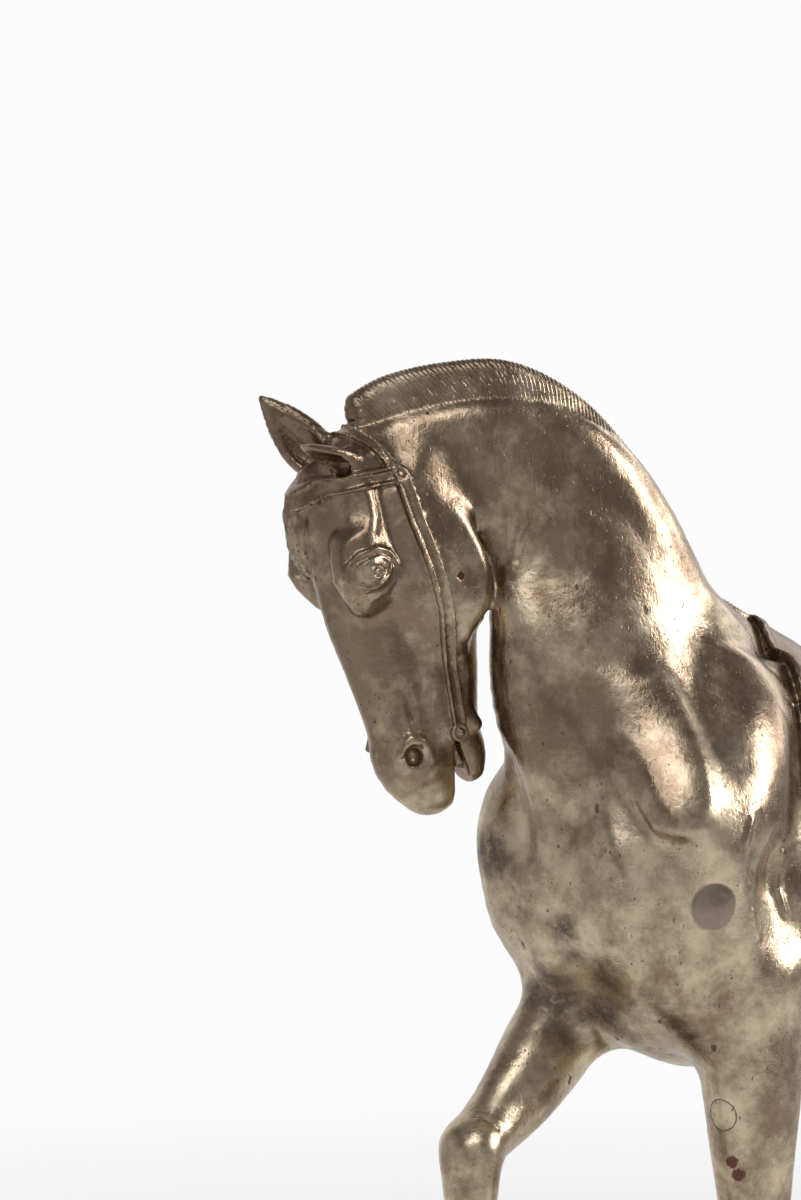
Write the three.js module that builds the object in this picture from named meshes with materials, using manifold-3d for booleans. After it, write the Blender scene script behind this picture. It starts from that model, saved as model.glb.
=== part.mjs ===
// A gilt bronze statuette of a walking stallion on a low moulded plinth. Millimetres, +Z up, head towards -X,
// so the horse's left side faces -Y. The origin is the centre of the plinth's underside.
//
// The horse is one casting. Its body is a field: a sum of swollen lines (bones and muscles), blended where they
// meet, from which the skin is meshed and then thinned where it is nearly flat.
import * as THREE from "three";
import { mergeVertices } from "three/addons/utils/BufferGeometryUtils.js";
import Module from "manifold-3d";

const WITHERS_HEIGHT = 240;
const PLINTH_HEIGHT = 13;
const PLINTH_LENGTH = 252;
const PLINTH_WIDTH = 92;
const SEAT_GAP = 0.3;
const WITHERS_FROM_CENTRE = -50;
const GRID = 2;
const HORSE_TRIANGLES = 9300;

// Proportions are in hundredths of the height at the withers, from a point on the ground below the withers:
// x towards the tail, y towards the horse's right, z up.
const U = WITHERS_HEIGHT / 100;

const radians = THREE.MathUtils.degToRad;
const sub = (a, b) => [a[0] - b[0], a[1] - b[1], a[2] - b[2]];
const add = (a, b, k = 1) => [a[0] + b[0] * k, a[1] + b[1] * k, a[2] + b[2] * k];
const scale = (a, k) => [a[0] * k, a[1] * k, a[2] * k];
const dot = (a, b) => a[0] * b[0] + a[1] * b[1] + a[2] * b[2];
const cross = (a, b) => [a[1] * b[2] - a[2] * b[1], a[2] * b[0] - a[0] * b[2], a[0] * b[1] - a[1] * b[0]];
const unit = (a) => scale(a, 1 / Math.hypot(...a));
const mix = (a, b, t) => a + (b - a) * t;
const mixPoint = (a, b, t) => [0, 1, 2].map((i) => mix(a[i], b[i], t));
const acrossBody = (yaw) => [Math.sin(radians(yaw)), Math.cos(radians(yaw)), 0];

// A swollen line. Each station is [x, y, z, half width, half depth, yaw]: the width lies along the line's side
// direction, the depth square to it, and yaw turns the side direction about the vertical.
const STEPS_PER_SPAN = 4;
const LONG_STEPS = 10;
function swollenLine(stations, { blend = 3, side = null, cut = false, steps = STEPS_PER_SPAN } = {}) {
  const size = 6;
  const full = stations.map((s) => [...s, 0].slice(0, size));
  const at = (i) => full[Math.min(Math.max(i, 0), full.length - 1)];
  const fine = [];
  for (let i = 0; i < full.length - 1; i++)
    for (let j = 0; j < steps; j++) {
      const near = [at(i - 1), at(i), at(i + 1), at(i + 2)];
      fine.push(catmullRom(near, j / steps));
    }
  fine.push(at(full.length - 1));
  const segments = [];
  for (let i = 0; i < fine.length - 1; i++) {
    const [from, to] = [fine[i], fine[i + 1]];
    const along = sub(to, from);
    const length = Math.hypot(...along);
    if (length < 1e-6) continue;
    const axis = scale(along, 1 / length);
    const wanted = side ?? acrossBody((from[5] + to[5]) / 2);
    const across = unit(add(wanted, axis, -dot(wanted, axis)));
    segments.push({ from, to, axis, length, across, deep: cross(axis, across) });
  }
  const reach = Math.max(...fine.map((s) => Math.max(s[3], s[4]))) + blend + MARGIN;
  const low = [0, 1, 2].map((i) => Math.min(...fine.map((s) => s[i])) - reach);
  const high = [0, 1, 2].map((i) => Math.max(...fine.map((s) => s[i])) + reach);
  return { segments, blend, cut, low, high };
}

function catmullRom([a, b, c, d], t) {
  return b.map((_, i) => {
    const [p, q, r, s] = [a[i], b[i], c[i], d[i]];
    return q + 0.5 * t * (r - p + t * (2 * p - 5 * q + 4 * r - s + t * (3 * (q - r) + s - p)));
  });
}

const MARGIN = 2;
const OUTSIDE = 1e3;

function distanceToLine(line, x, y, z) {
  const { low, high } = line;
  if (x < low[0] || x > high[0] || y < low[1] || y > high[1] || z < low[2] || z > high[2]) return OUTSIDE;
  let best = OUTSIDE;
  for (const { from, to, axis, length, across, deep } of line.segments) {
    const [px, py, pz] = [x - from[0], y - from[1], z - from[2]];
    const run = px * axis[0] + py * axis[1] + pz * axis[2];
    const t = Math.min(Math.max(run / length, 0), 1);
    const past = run - t * length;
    const wide = px * across[0] + py * across[1] + pz * across[2];
    const thick = px * deep[0] + py * deep[1] + pz * deep[2];
    const w = from[3] + (to[3] - from[3]) * t;
    const d = from[4] + (to[4] - from[4]) * t;
    const cap = Math.min(w, d);
    const k0 = Math.hypot(wide / w, thick / d, past / cap);
    const k1 = Math.hypot(wide / (w * w), thick / (d * d), past / (cap * cap));
    best = Math.min(best, k1 < 1e-6 ? -cap : (k0 * (k0 - 1)) / k1);
  }
  return best;
}

function blendedMin(a, b, k) {
  const h = Math.min(Math.max(0.5 + (0.5 * (b - a)) / k, 0), 1);
  return mix(b, a, h) - k * h * (1 - h);
}

// The distance to lines blended in order, on top of a field that is there already.
function fieldOf(lines) {
  return (x, y, z, already = OUTSIDE) => {
    let value = already;
    for (const line of lines) {
      const d = distanceToLine(line, x, y, z);
      if (d === OUTSIDE) continue;
      value = line.cut ? -blendedMin(-value, d, line.blend) : blendedMin(value, d, line.blend);
    }
    return value;
  };
}

const LEFT = -1;
const RIGHT = 1;
const SIDES = [LEFT, RIGHT];
const onSide = (side, stations) => stations.map(([x, y, ...rest]) => [x, y * side, ...rest]);

function trunk() {
  return [
    swollenLine([
      [-19, 0, 74, 8, 9.5], [-13, 0, 73.5, 11.4, 15.4], [-4, 0, 73.6, 12.8, 19], [8, 0, 73, 14, 19],
      [20, 0, 73.6, 15, 18.2], [32, 0, 76, 14.6, 17], [43, 0, 79.5, 13, 15], [52, 0, 82, 10.5, 12],
    ]),
    swollenLine([
      [-9, 0.3, 94, 3.2, 5], [-2, 0, 95, 3, 4.2], [4, 0, 93.4, 2.8, 3.6], [9, 0, 91, 2.8, 3.4], [15, 0, 88.5, 2.6, 3],
    ], { blend: 5 }),
    swollenLine([[-15, 0, 63, 5, 6], [-9, 0, 60.5, 6, 5.4], [0, 0, 60, 6, 5]], { blend: 4 }),
    swollenLine([[34, 0, 84, 10, 9.4], [46, 0, 86.5, 11.4, 11], [57, 0, 83.5, 9, 10]], { blend: 5 }),
  ];
}

// The raised leg carries the right shoulder forward, and makes it fuller.
function shoulderAndBreast(side) {
  const [forward, fuller] = side === RIGHT ? [3.6, 1] : [0, 0];
  const blade = [
    [-2, 7, 91, 3, 4.5], [-8, 8.2, 87, 3.8, 6], [-14 - forward / 2, 9, 82.5, 4.2, 6],
    [-18.5 - forward, 9.2, 78, 4.4, 4.8],
  ];
  const upperArm = [[-2, 9.2, 80, 3.8, 7.6], [-3, 9.8, 72, 4.8, 8], [-4, 9.2, 63, 4, 5.4]];
  const point = [
    [-18.8 - forward, 9.2, 80 + fuller, 4.2 + fuller / 2, 4.4], [-18.8 - forward, 9.4, 76.5, 4.8, 5.2],
    [-17 - forward, 9, 71, 4.6 + fuller, 5.4], [-11 - forward, 9, 65, 4.4 + fuller, 5.6],
  ];
  const breast = [[-21, 4.4, 84, 4.4, 5.4], [-22, 4.8, 76, 4.8, 6], [-19.6, 5, 68, 4.8, 6], [-14, 6, 61.5, 4.6, 5]];
  return [
    swollenLine(onSide(side, blade), { blend: 4 }),
    swollenLine(onSide(side, upperArm), { blend: 4 }),
    swollenLine(onSide(side, point), { blend: 3 }),
    swollenLine(onSide(side, breast), { blend: 2.5 }),
  ];
}

// The flat of the left shoulder, with a valley before it, and the blade behind it.
function leftShoulder() {
  const flat = [
    [-22.3, -4.5, 93, 2.6, 1.3], [-22.9, -5.8, 90.4, 4, 1.4], [-23.75, -7.5, 86.8, 4.6, 1.5],
    [-24.3, -8.8, 84.3, 4.6, 1.5], [-25, -9.8, 81.9, 4, 1.4], [-25.4, -10.2, 80.5, 2.8, 1.2],
  ];
  const blade = [
    [-11, -6.6, 95, 3, 1.6], [-13.4, -9.1, 89.7, 4, 2], [-14.8, -10.6, 85.5, 4.2, 2], [-15.4, -11.2, 81.5, 4, 2],
  ];
  const front = [
    [-28, -2.6, 91.5, 1.2, 1.2], [-27.8, -4.4, 87.6, 1.5, 1.5], [-28, -6.9, 82.4, 1.5, 1.5],
    [-27.2, -11, 77.6, 1.4, 1.4], [-22.4, -15, 74.8, 1.1, 1.1],
  ];
  return [
    swollenLine(blade, { blend: 5, side: unit([0.96, -0.29, 0]) }),
    swollenLine(flat, { blend: 3, side: unit([0.63, -0.78, 0]) }),
    swollenLine(front, { blend: 3.2, cut: true }),
  ];
}

// The neck leaves the breast along the body and swings to the horse's right as it arches over.
const NECK = [
  [-13, 0.8, 84, 10, 14.8, 8], [-18.8, 2.4, 94, 8, 13, 16], [-20.6, 4, 104, 6, 10.4, 23],
  [-24.6, 6.8, 111.4, 4.4, 8.8, 28], [-30.6, 10.8, 115.2, 3.2, 6, 30], [-36.5, 14.6, 114.8, 2.6, 5.4, 28],
  [-40.4, 17, 113.8, 2.6, 4.4, 26],
];
const CREST = [
  [-3.6, 0.1, 96.8, 3, 3, 6], [-8.8, 0.4, 101.3, 3, 3, 10], [-13.2, 1.1, 107.6, 2.6, 3, 16],
  [-17.5, 2.5, 113.4, 2.4, 2.8, 24], [-22.3, 4.9, 118, 2.2, 2.8, 29], [-28, 8.6, 120, 2, 2.6, 31],
  [-34.5, 13, 119, 1.9, 2.4, 30], [-39.4, 16.4, 117, 1.8, 2, 26],
];
const MANE = [
  [0.6, -0.2, 99.2, 0.5, 0.5, 0], [-4, 0, 100.9, 0.7, 0.8, 6],
  [-9.1, 0.4, 102.8, 0.7, 0.9, 12], [-14, 1.3, 111.1, 0.8, 1.4, 18], [-18.6, 2.9, 117.3, 1, 1.7, 24],
  [-23, 5.2, 121.2, 1.2, 2.1, 29], [-27.8, 8.4, 123.4, 1.3, 2.5, 31], [-32.6, 11.7, 123, 1.4, 2.8, 30],
  [-37, 14.8, 121.8, 1.5, 2.9, 28], [-39.8, 16.8, 120.6, 1.5, 2.4, 26],
];
const CREST_BEVEL = [
  [-24.2, 6.5, 121, 2.2, 1.2], [-22.4, 4.8, 119.6, 2.6, 1.3], [-19.3, 2.2, 116, 2.7, 1.3],
  [-16.9, 0.4, 112, 2.7, 1.3], [-14.7, -1.4, 107, 2.7, 1.3], [-12.6, -2.7, 102.2, 2.9, 1.3],
  [-10.3, -4, 99, 3.4, 1.4], [-8, -5.2, 96, 3.6, 1.4],
];
// Where the front edge of the neck runs down into the breast beside the far shoulder.
const THROAT_FOLD = [[-29.2, 7.6, 86, 0.8, 0.8], [-29.3, 6.6, 81.4, 1.3, 1.3], [-28.8, 5.6, 77.6, 0.9, 0.9]];
const LONG_MUSCLE = [
  [-28.6, 5.4, 103, 1, 2.4, 27], [-26, 3, 98, 1.8, 3.8, 24], [-22.6, -1.6, 91, 2.6, 4.6, 18],
  [-18.5, -6, 83, 3, 4.6, 10],
];

// The crest is flat along its left side, where it slopes up to the mane from a ridge.
function neck() {
  const uphill = unit([0.93, 0.09, 0.36]);
  const runs = [[NECK, 4], [CREST, 3], [CREST_BEVEL, 1.4, uphill], [MANE, 0.5], [LONG_MUSCLE, 3]];
  return [
    ...runs.map(([stations, blend, side]) => swollenLine(stations, { blend, side, steps: LONG_STEPS })),
    swollenLine(THROAT_FOLD, { blend: 2.4, cut: true }),
  ];
}

// The head has its own axes from the poll: along the face towards the lips, out to the horse's right, and forward.
const POLL = [-41.8, 17.7, 118.2];
const HEAD_YAW = 25;
const CHIN_TUCK = 17;
const ahead = [-Math.cos(radians(HEAD_YAW)), Math.sin(radians(HEAD_YAW)), 0];
const headRight = acrossBody(HEAD_YAW);
const faceDown = add(scale(ahead, -Math.sin(radians(CHIN_TUCK))), [0, 0, 1], -Math.cos(radians(CHIN_TUCK)));
const faceFront = add(scale(ahead, Math.cos(radians(CHIN_TUCK))), [0, 0, 1], -Math.sin(radians(CHIN_TUCK)));
const headPoint = ([along, out, front]) => add(add(add(POLL, faceDown, along), headRight, out), faceFront, front);
function headLine(stations, options = {}) {
  const placed = stations.map(([a, s, n, w, d]) => [...headPoint([a, s, n]), w, d]);
  return swollenLine(placed, { side: headRight, blend: 1.5, ...options });
}
const mirrored = (side, stations) => stations.map(([a, s, ...rest]) => [a, s * side, ...rest]);

function skull() {
  return [
    headLine([
      [4.4, 0, -0.8, 4.2, 5], [8, 0, 0, 4.8, 6.2], [12, 0, 0.3, 4.7, 6.4], [17, 0, 0.9, 4.2, 5.7],
      [23, 0, 1, 3.8, 5], [29, 0, 1, 3.7, 4.5], [32.6, 0, 1.25, 3.8, 4.6], [35.4, 0, 0.9, 3.3, 3.3],
    ], { blend: 2 }),
    headLine([[10, 0, -4, 3.8, 4.4], [16, 0, -5, 3.9, 4.7], [23, 0, -4.4, 3.3, 3.7], [29, 0, -3.4, 3.4, 2.8]]),
    headLine([[29, 0, -3, 2.8, 2.3], [33.2, 0, -3.6, 2.7, 2.3], [35.3, 0, -3.7, 2.2, 1.6]], { blend: 0.8 }),
    headLine([[18, 0, -1.5, 4, 3], [24, 0, -1.6, 3.8, 2.6], [30, 0, -1.4, 3.8, 2.4]]),
    headLine([[15, 0, -7.4, 3.4, 1.6], [19.2, 0, -7.9, 3, 1.2], [20.9, 0, -8.2, 2.4, 0.8]], { blend: 1.2 }),
    headLine([[2.8, 0.9, 3.8, 1.6, 1.3], [4.8, 1, 5, 1.8, 1.4]], { blend: 1 }),
  ];
}

// Cheek, jowl rim, ear root, gland behind the cheek, temple, orbit, brow, temple ridge, eyeball, nostril wing,
// corner of the mouth and nostril rim, then the nostril itself.
function faceHalf(side) {
  const forms = [
    [[
      [6.4, 3.8, -2.4, 1.6, 2.2], [9.5, 4.2, -3, 2, 3.8], [13.5, 4.4, -3.6, 2.2, 5], [18, 4, -4, 2, 4.6],
      [22, 3, -3.2, 1.4, 2.8],
    ], 1],
    [[
      [9, 4.4, -5.4, 0.7, 0.7], [11.6, 5, -7.5, 1.1, 1.1], [15, 5, -8.3, 1.2, 1.1],
      [18.6, 4.6, -7.6, 1.1, 1.1], [21, 3.8, -5.6, 0.8, 0.8],
    ], 1.4],
    [[[2.4, 3.2, 0.8, 1.6, 1.6], [2.4, 3.5, -0.8, 1.6, 1.6]], 1.2],
    [[[5.4, 3.2, -5, 1.8, 2.4], [9.4, 3.2, -7.6, 1.8, 1.8]], 3],
    [[[4.4, 3.4, 1.4, 1.4, 1.8], [8, 4, 2, 1.6, 2], [11, 4.3, 2.8, 1.8, 2.2]], 1.5],
    [[[9.8, 4.6, 3.4, 1.7, 1.9], [12.3, 5.05, 3.5, 2.1, 2.4], [14.4, 4.2, 3.3, 1.7, 2]], 2.2],
    [[[9, 4.6, 4.9, 0.8, 0.8], [12.4, 5.4, 5.8, 1, 1], [15.4, 4.8, 4.6, 0.8, 0.8]], 1.2],
    [[
      [5, 4.7, 1.1, 0.5, 0.5], [7.4, 5.2, 1.5, 0.7, 0.6], [8.6, 5.8, 2.6, 0.6, 0.6], [8.9, 5.8, 4, 0.5, 0.5],
      [10.2, 5.3, 5.4, 0.4, 0.4],
    ], 1],
    [[[11.9, 5.75, 3.5, 1.9, 1.9], [12.3, 5.75, 3.5, 1.9, 1.9]], 0.2],
    [[[28.8, 2.6, 2.8, 1, 1.3], [31, 2.8, 2.8, 1.3, 1.7], [33.2, 2.7, 1.9, 1.4, 1.8]], 1],
    [[[29.6, 2.6, -4.1, 0.6, 0.7], [30.9, 2.7, -4.5, 0.8, 0.8]], 0.6],
    [[[31, 3.7, 4.5, 0.3, 0.3], [30, 3.9, 3.4, 0.5, 0.5], [30.4, 4, 2.1, 0.6, 0.6], [32.2, 3.9, 1.6, 0.4, 0.4]], 0.5],
  ];
  const nostril = mirrored(side, [[31.3, 5.4, 3.3, 1, 1.2], [31.7, 3.4, 3.1, 0.8, 0.9]]);
  const slit = mirrored(side, [[32.2, 4.2, 3.7, 0.5, 0.45], [34.2, 3.4, 3.8, 0.3, 0.3]]);
  return [
    ...forms.map(([stations, blend]) => headLine(mirrored(side, stations), { blend })),
    headLine(nostril, { blend: 0.35, side: faceFront, cut: true }),
    headLine(slit, { blend: 0.3, cut: true }),
  ];
}

// The near ear is turned forward and out, the far one stands up.
const EARS = {
  [LEFT]: { base: [2.2, 3.4, 0.6], tip: [-1.7, 5.5, 6.4], face: [0.3, 0.5, 0.8], width: 1.7 },
  [RIGHT]: { base: [2.6, 3, 1], tip: [-5.6, 5.4, 4.6], face: [0.1, -0.9, 0.5], width: 2.6 },
};
const headDirection = ([a, s, n]) => add(add(scale(faceDown, a), headRight, s), faceFront, n);

function ear(side) {
  const { base, tip, face, width } = EARS[side];
  const opening = [face[0], face[1] * side, face[2]];
  const length = sub(tip, base);
  const across = cross(headDirection(opening), headDirection([length[0], length[1] * side, length[2]]));
  const leaf = [[0, 0.8, 0.8], [0.3, 1, 0.6], [0.6, 0.8, 0.42], [0.85, 0.42, 0.28], [1, 0.12, 0.12]];
  const hollow = [[0.14, 0.42, 0.5], [0.35, 0.68, 0.5], [0.6, 0.52, 0.36], [0.86, 0.2, 0.2]];
  const along = (profile, lift) => {
    const placeOf = (t) => add(mixPoint(base, tip, t), face, lift * width);
    return mirrored(side, profile.map(([t, w, d]) => [...placeOf(t), w * width, d * width]));
  };
  return [
    headLine(along(leaf, 0), { side: across, blend: 0.8 }),
    headLine(along(hollow, 0.55), { side: across, blend: 0.3, cut: true }),
  ];
}

// Parted lips, with the tongue between them.
function mouth() {
  const parting = [[31.8, 0, -2.1, 5, 0.3], [33.4, 0, -1.95, 5, 0.65], [35, 0, -1.85, 5, 1], [37.2, 0, -1.8, 5, 1.3]];
  return [
    headLine(parting, { cut: true, blend: 0.3 }),
    headLine([[31, 0, -2.2, 1.6, 1], [34.2, 0, -2.4, 1.5, 0.9]], { blend: 0.3 }),
  ];
}

// The bridle, without reins. Each strap runs round the head in one plane, so its route is drawn on the side of the
// face: the place along the face and forward of the poll. It lies on the head's own skin, with two raised edges.
const STRAPS = [
  { width: 0.95, clear: 0, route: [[4.8, 8.6], [4.2, 6.2], [3.4, 4.1], [3.6, 1.1], [4.1, -2.3], [4.2, -3]] },
  {
    width: 0.8,
    clear: 2,
    route: [[4.2, -3], [5.4, -2.9], [9, -2.9], [13, -3.2], [18, -3.5], [24, -3.2], [30, -2.4]],
  },
  { width: 0.65, clear: 0, route: [[4.2, -3], [2.4, -2.2], [0.9, -1.6], [-0.6, -0.9], [-1.3, 0], [-1.6, 1]] },
];
const STRAP_RISE = 0.28;
const STRAP_EDGE = 0.26;
const STRAP_ROUNDING = 0.12;
const BIT_BOSS = { along: 30.8, forward: -2.1, face: 4.3, radius: 0.95, ring: 0.72, bead: 0.42 };
const HEAD_BEHIND = -28;

function distanceToRoute(route, u, v) {
  let best = OUTSIDE;
  for (let i = 0; i < route.length - 1; i++) {
    const [u0, v0] = route[i];
    const [du, dv] = [route[i + 1][0] - u0, route[i + 1][1] - v0];
    const t = Math.min(Math.max(((u - u0) * du + (v - v0) * dv) / (du * du + dv * dv), 0), 1);
    best = Math.min(best, Math.hypot(u - u0 - t * du, v - v0 - t * dv));
  }
  return best;
}

function bridle(body, x, y, z) {
  if (body < -3 || body > 2 || x > HEAD_BEHIND || z < 80) return OUTSIDE;
  const fromPoll = sub([x, y, z], POLL);
  const [along, forward] = [dot(faceDown, fromPoll), dot(faceFront, fromPoll)];
  const out = Math.abs(dot(headRight, fromPoll));
  const straps = STRAPS.map(({ width, clear, route }) => {
    const inside = distanceToRoute(route, along, forward) - width;
    const rise = STRAP_RISE + STRAP_EDGE * Math.exp(-(((1 + inside / width - 0.72) / 0.2) ** 2));
    return Math.max(-blendedMin(rise - body, -inside, STRAP_ROUNDING), clear - out);
  });
  const radial = Math.hypot(along - BIT_BOSS.along, forward - BIT_BOSS.forward);
  const offFace = out - BIT_BOSS.face;
  const disc = Math.max(radial - BIT_BOSS.radius, offFace);
  const ring = Math.hypot(radial - BIT_BOSS.ring, offFace) - (BIT_BOSS.radius - BIT_BOSS.ring);
  const bead = Math.hypot(radial, offFace - 0.1) - BIT_BOSS.bead;
  return Math.min(...straps, disc, ring, bead);
}

function forelock() {
  const knot = [[4.4, 1.3, 5.9, 1, 0.8], [5.8, 1.4, 6.5, 1.1, 0.8]];
  const strands = [[0.2, 0.8, 0], [-0.9, 0.8, 0.8], [1.3, 0.7, 1.4]];
  const locks = strands.map(([lean, width, drop]) => {
    const [top, belly, tip] = [[5.8, 1.3, 6.2], [8.8, 1.4 + lean * 0.6, 6.6], [12.4 - drop, 1.8 + lean, 6.8]];
    return headLine([[...top, width, 0.9], [...belly, width, 1], [...tip, 0.25, 0.25]], { blend: 0.7 });
  });
  return [headLine(knot, { blend: 0.8 }), ...locks];
}

// A point between two joints of a limb, moved back (away from the limb's front) and out from the body.
function limbPoint(from, to, t, back = 0, out = 0) {
  const axis = unit(sub(to, from));
  const rear = unit([-axis[2], 0, axis[0]]);
  return add(add(mixPoint(from, to, t), rear, back), [0, Math.sign(from[1]), 0], out);
}
const limbLine = (from, to, profile, options = {}) =>
  swollenLine(profile.map(([t, w, d, back, out]) => [...limbPoint(from, to, t, back, out), w, d]), options);

function foreLimb({ elbow, knee, fetlock, coronet, sole, forearm }) {
  const kneeBones = [[-0.02, 2.9, 2.6, -0.1], [0.1, 3, 2.8], [0.22, 2.7, 2.7], [0.35, 1.8, 2]];
  const cannon = [[0.2, 1.8, 2], [0.4, 1.6, 1.7, -0.3], [0.7, 1.6, 1.6, -0.3], [0.92, 2, 1.9]];
  return [
    limbLine(elbow, knee, forearm, { blend: 3 }),
    limbLine(elbow, knee, [[0.86, 2.4, 2.4, 0.3], [0.95, 2.7, 2.5, 0.1], [1, 2.9, 2.6, 0]], { blend: 1.5 }),
    limbLine(knee, fetlock, kneeBones, { blend: 1.5 }),
    limbLine(knee, fetlock, [[-0.02, 1.4, 1, 2.2], [0.12, 1.2, 0.8, 2.4]], { blend: 1 }),
    limbLine(knee, fetlock, cannon, { blend: 1 }),
    limbLine(knee, fetlock, [[0.2, 1.2, 1, 1.4], [0.5, 1, 0.9, 1.5], [0.9, 1.2, 1, 1.6]], { blend: 0.8 }),
    ...foot({ fetlock, coronet, sole }),
  ];
}

function hindLimb({ hip, stifle, hock, fetlock, coronet, sole }) {
  const thigh = [[0, 5, 9], [0.45, 6.2, 10.5, 0.5], [0.8, 5.2, 8.6, 0.5], [1.05, 4.2, 5.6, 0.8]];
  const gaskin = [
    [-0.12, 3.4, 4, -0.6], [0.15, 4.4, 5.8, 0.4], [0.4, 3.5, 4.6, 0.5], [0.7, 2.3, 3], [0.95, 2.3, 2.8],
  ];
  const hockBones = [[-0.14, 2.5, 2.8, 0.6], [0, 2.7, 3, 0.3], [0.14, 2.2, 2.5], [0.24, 1.8, 2.1]];
  const cannon = [[0.15, 2, 2.2], [0.4, 1.7, 1.8, -0.2], [0.75, 1.6, 1.7, -0.2], [0.93, 2.1, 2]];
  return [
    limbLine(hip, stifle, thigh, { blend: 4 }),
    limbLine(stifle, hock, gaskin, { blend: 3 }),
    limbLine(stifle, hock, [[0.5, 1.1, 1.2, 4], [0.8, 1, 1.1, 3.6], [1, 1.4, 1.5, 3.2]], { blend: 1.5 }),
    limbLine(hock, fetlock, hockBones, { blend: 1.5 }),
    limbLine(hock, fetlock, cannon, { blend: 1 }),
    limbLine(hock, fetlock, [[0.1, 1.2, 1, 1.8], [0.5, 1, 0.9, 1.6], [0.9, 1.2, 1, 1.6]], { blend: 0.8 }),
    ...foot({ fetlock, coronet, sole }),
  ];
}

function foot({ fetlock, coronet, sole }) {
  const pastern = [[-0.15, 2, 2.2, 0.2], [0.08, 2.3, 2.5, 0.4], [0.35, 1.9, 2], [0.8, 2.1, 2.2], [1, 2.5, 2.6]];
  const hoof = [[0, 2.7, 3, 0], [0.12, 2.8, 3.1, 0], [1, 3.3, 3.9, 0.2], [1.4, 3.4, 4, 0.3]];
  return [limbLine(fetlock, coronet, pastern, { blend: 1 }), limbLine(coronet, sole, hoof, { blend: 0.4 })];
}

const LIMBS = {
  leftFore: {
    elbow: [-9.8, -8.8, 61], knee: [-8, -8.4, 30.5], fetlock: [-7.6, -8.2, 12],
    coronet: [-10.4, -8.2, 5.4], sole: [-12, -8.2, 0],
    forearm: [[-0.1, 5, 6], [0.2, 4.9, 5.6], [0.45, 4.1, 4.8], [0.65, 3.4, 4], [0.92, 2.7, 3]],
  },
  rightFore: {
    elbow: [-12.5, 8.4, 64.5], knee: [-33.4, 8, 47.8], fetlock: [-32.8, 8, 28.5],
    coronet: [-29.4, 8, 22.5], sole: [-27, 8, 17.4],
    forearm: [[0, 3.9, 5.4], [0.25, 3.9, 5.4, 0.4], [0.5, 3.7, 5, 0.8], [0.75, 3, 4, 0.7], [0.92, 2.6, 3, 0.2]],
  },
  leftHind: {
    hip: [45, -7.2, 84], stifle: [40, -9.6, 61], hock: [56.5, -8.2, 38],
    fetlock: [49, -7.8, 12], coronet: [45.6, -7.8, 5.4], sole: [44, -7.8, 0],
  },
  rightHind: {
    hip: [46, 7.2, 84], stifle: [45, 9.6, 61.5], hock: [64, 8.2, 40],
    fetlock: [69, 7.8, 12.4], coronet: [66, 7.8, 5.6], sole: [64.4, 7.8, 0],
  },
};

// From the pin bone down the back of the thigh, thinning into the back of the gaskin.
function buttock({ hip, stifle, hock }) {
  const side = Math.sign(hip[1]);
  const low = limbPoint(stifle, hock, 0.5, 2.2);
  const upper = onSide(side, [[57, 4.8, 88, 4.4, 5.4], [61, 5.6, 80, 4.8, 6], [59, 6.6, 70, 4.6, 5.4]]);
  const middle = [mix(59, low[0], 0.6), 7.4 * side, 59, 3.6, 4];
  return swollenLine([...upper, middle, [...low, 1.6, 2]], { blend: 3.5 });
}

// The tail: locks that leave the dock together, part and turn about each other as they fall.
const TAIL_FALL = [
  [60, 91.5], [65, 93.6], [69.5, 90.5], [72.6, 82], [74.4, 71], [75.4, 59], [76.6, 48], [79.4, 38], [83, 31],
];
const TAIL_SPREAD = [0.8, 1, 1.5, 2.2, 2.6, 2.7, 2.3, 1.5, 0.6];
const TAIL_LOCKS = 7;
function tail() {
  const radiusAt = (i) => TAIL_SPREAD[i] + 0.8;
  const core = TAIL_FALL.slice(0, 7).map(([x, z], i) => [x, 0, z, radiusAt(i), radiusAt(i)]);
  const locks = Array.from({ length: TAIL_LOCKS }, (_, n) => {
    const last = TAIL_FALL.length - (n % 3 === 1 ? 1 : 0);
    const stations = TAIL_FALL.slice(0, last).map(([x, z], i) => {
      const angle = (n / TAIL_LOCKS) * 2 * Math.PI + i * 0.22;
      const thick = i === last - 1 ? 0.25 : 1 + 0.5 * Math.sin((i / last) * Math.PI);
      return [x + TAIL_SPREAD[i] * Math.cos(angle), TAIL_SPREAD[i] * Math.sin(angle), z, thick, thick];
    });
    return swollenLine(stations, { blend: 0.5 });
  });
  return [swollenLine(core, { blend: 1.5 }), ...locks];
}

const backLines = [...trunk(), ...SIDES.flatMap(shoulderAndBreast)];
const bodyField = fieldOf([
  ...backLines,
  ...leftShoulder(),
  buttock(LIMBS.leftHind),
  buttock(LIMBS.rightHind),
  ...foreLimb(LIMBS.leftFore),
  ...foreLimb(LIMBS.rightFore),
  ...hindLimb(LIMBS.leftHind),
  ...hindLimb(LIMBS.rightHind),
  ...tail(),
  ...neck(),
  ...skull(),
  ...SIDES.flatMap(faceHalf),
  ...mouth(),
]);
const aboveTheBridle = fieldOf([...SIDES.flatMap(ear), ...forelock()]);
const backField = fieldOf(backLines);

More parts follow.
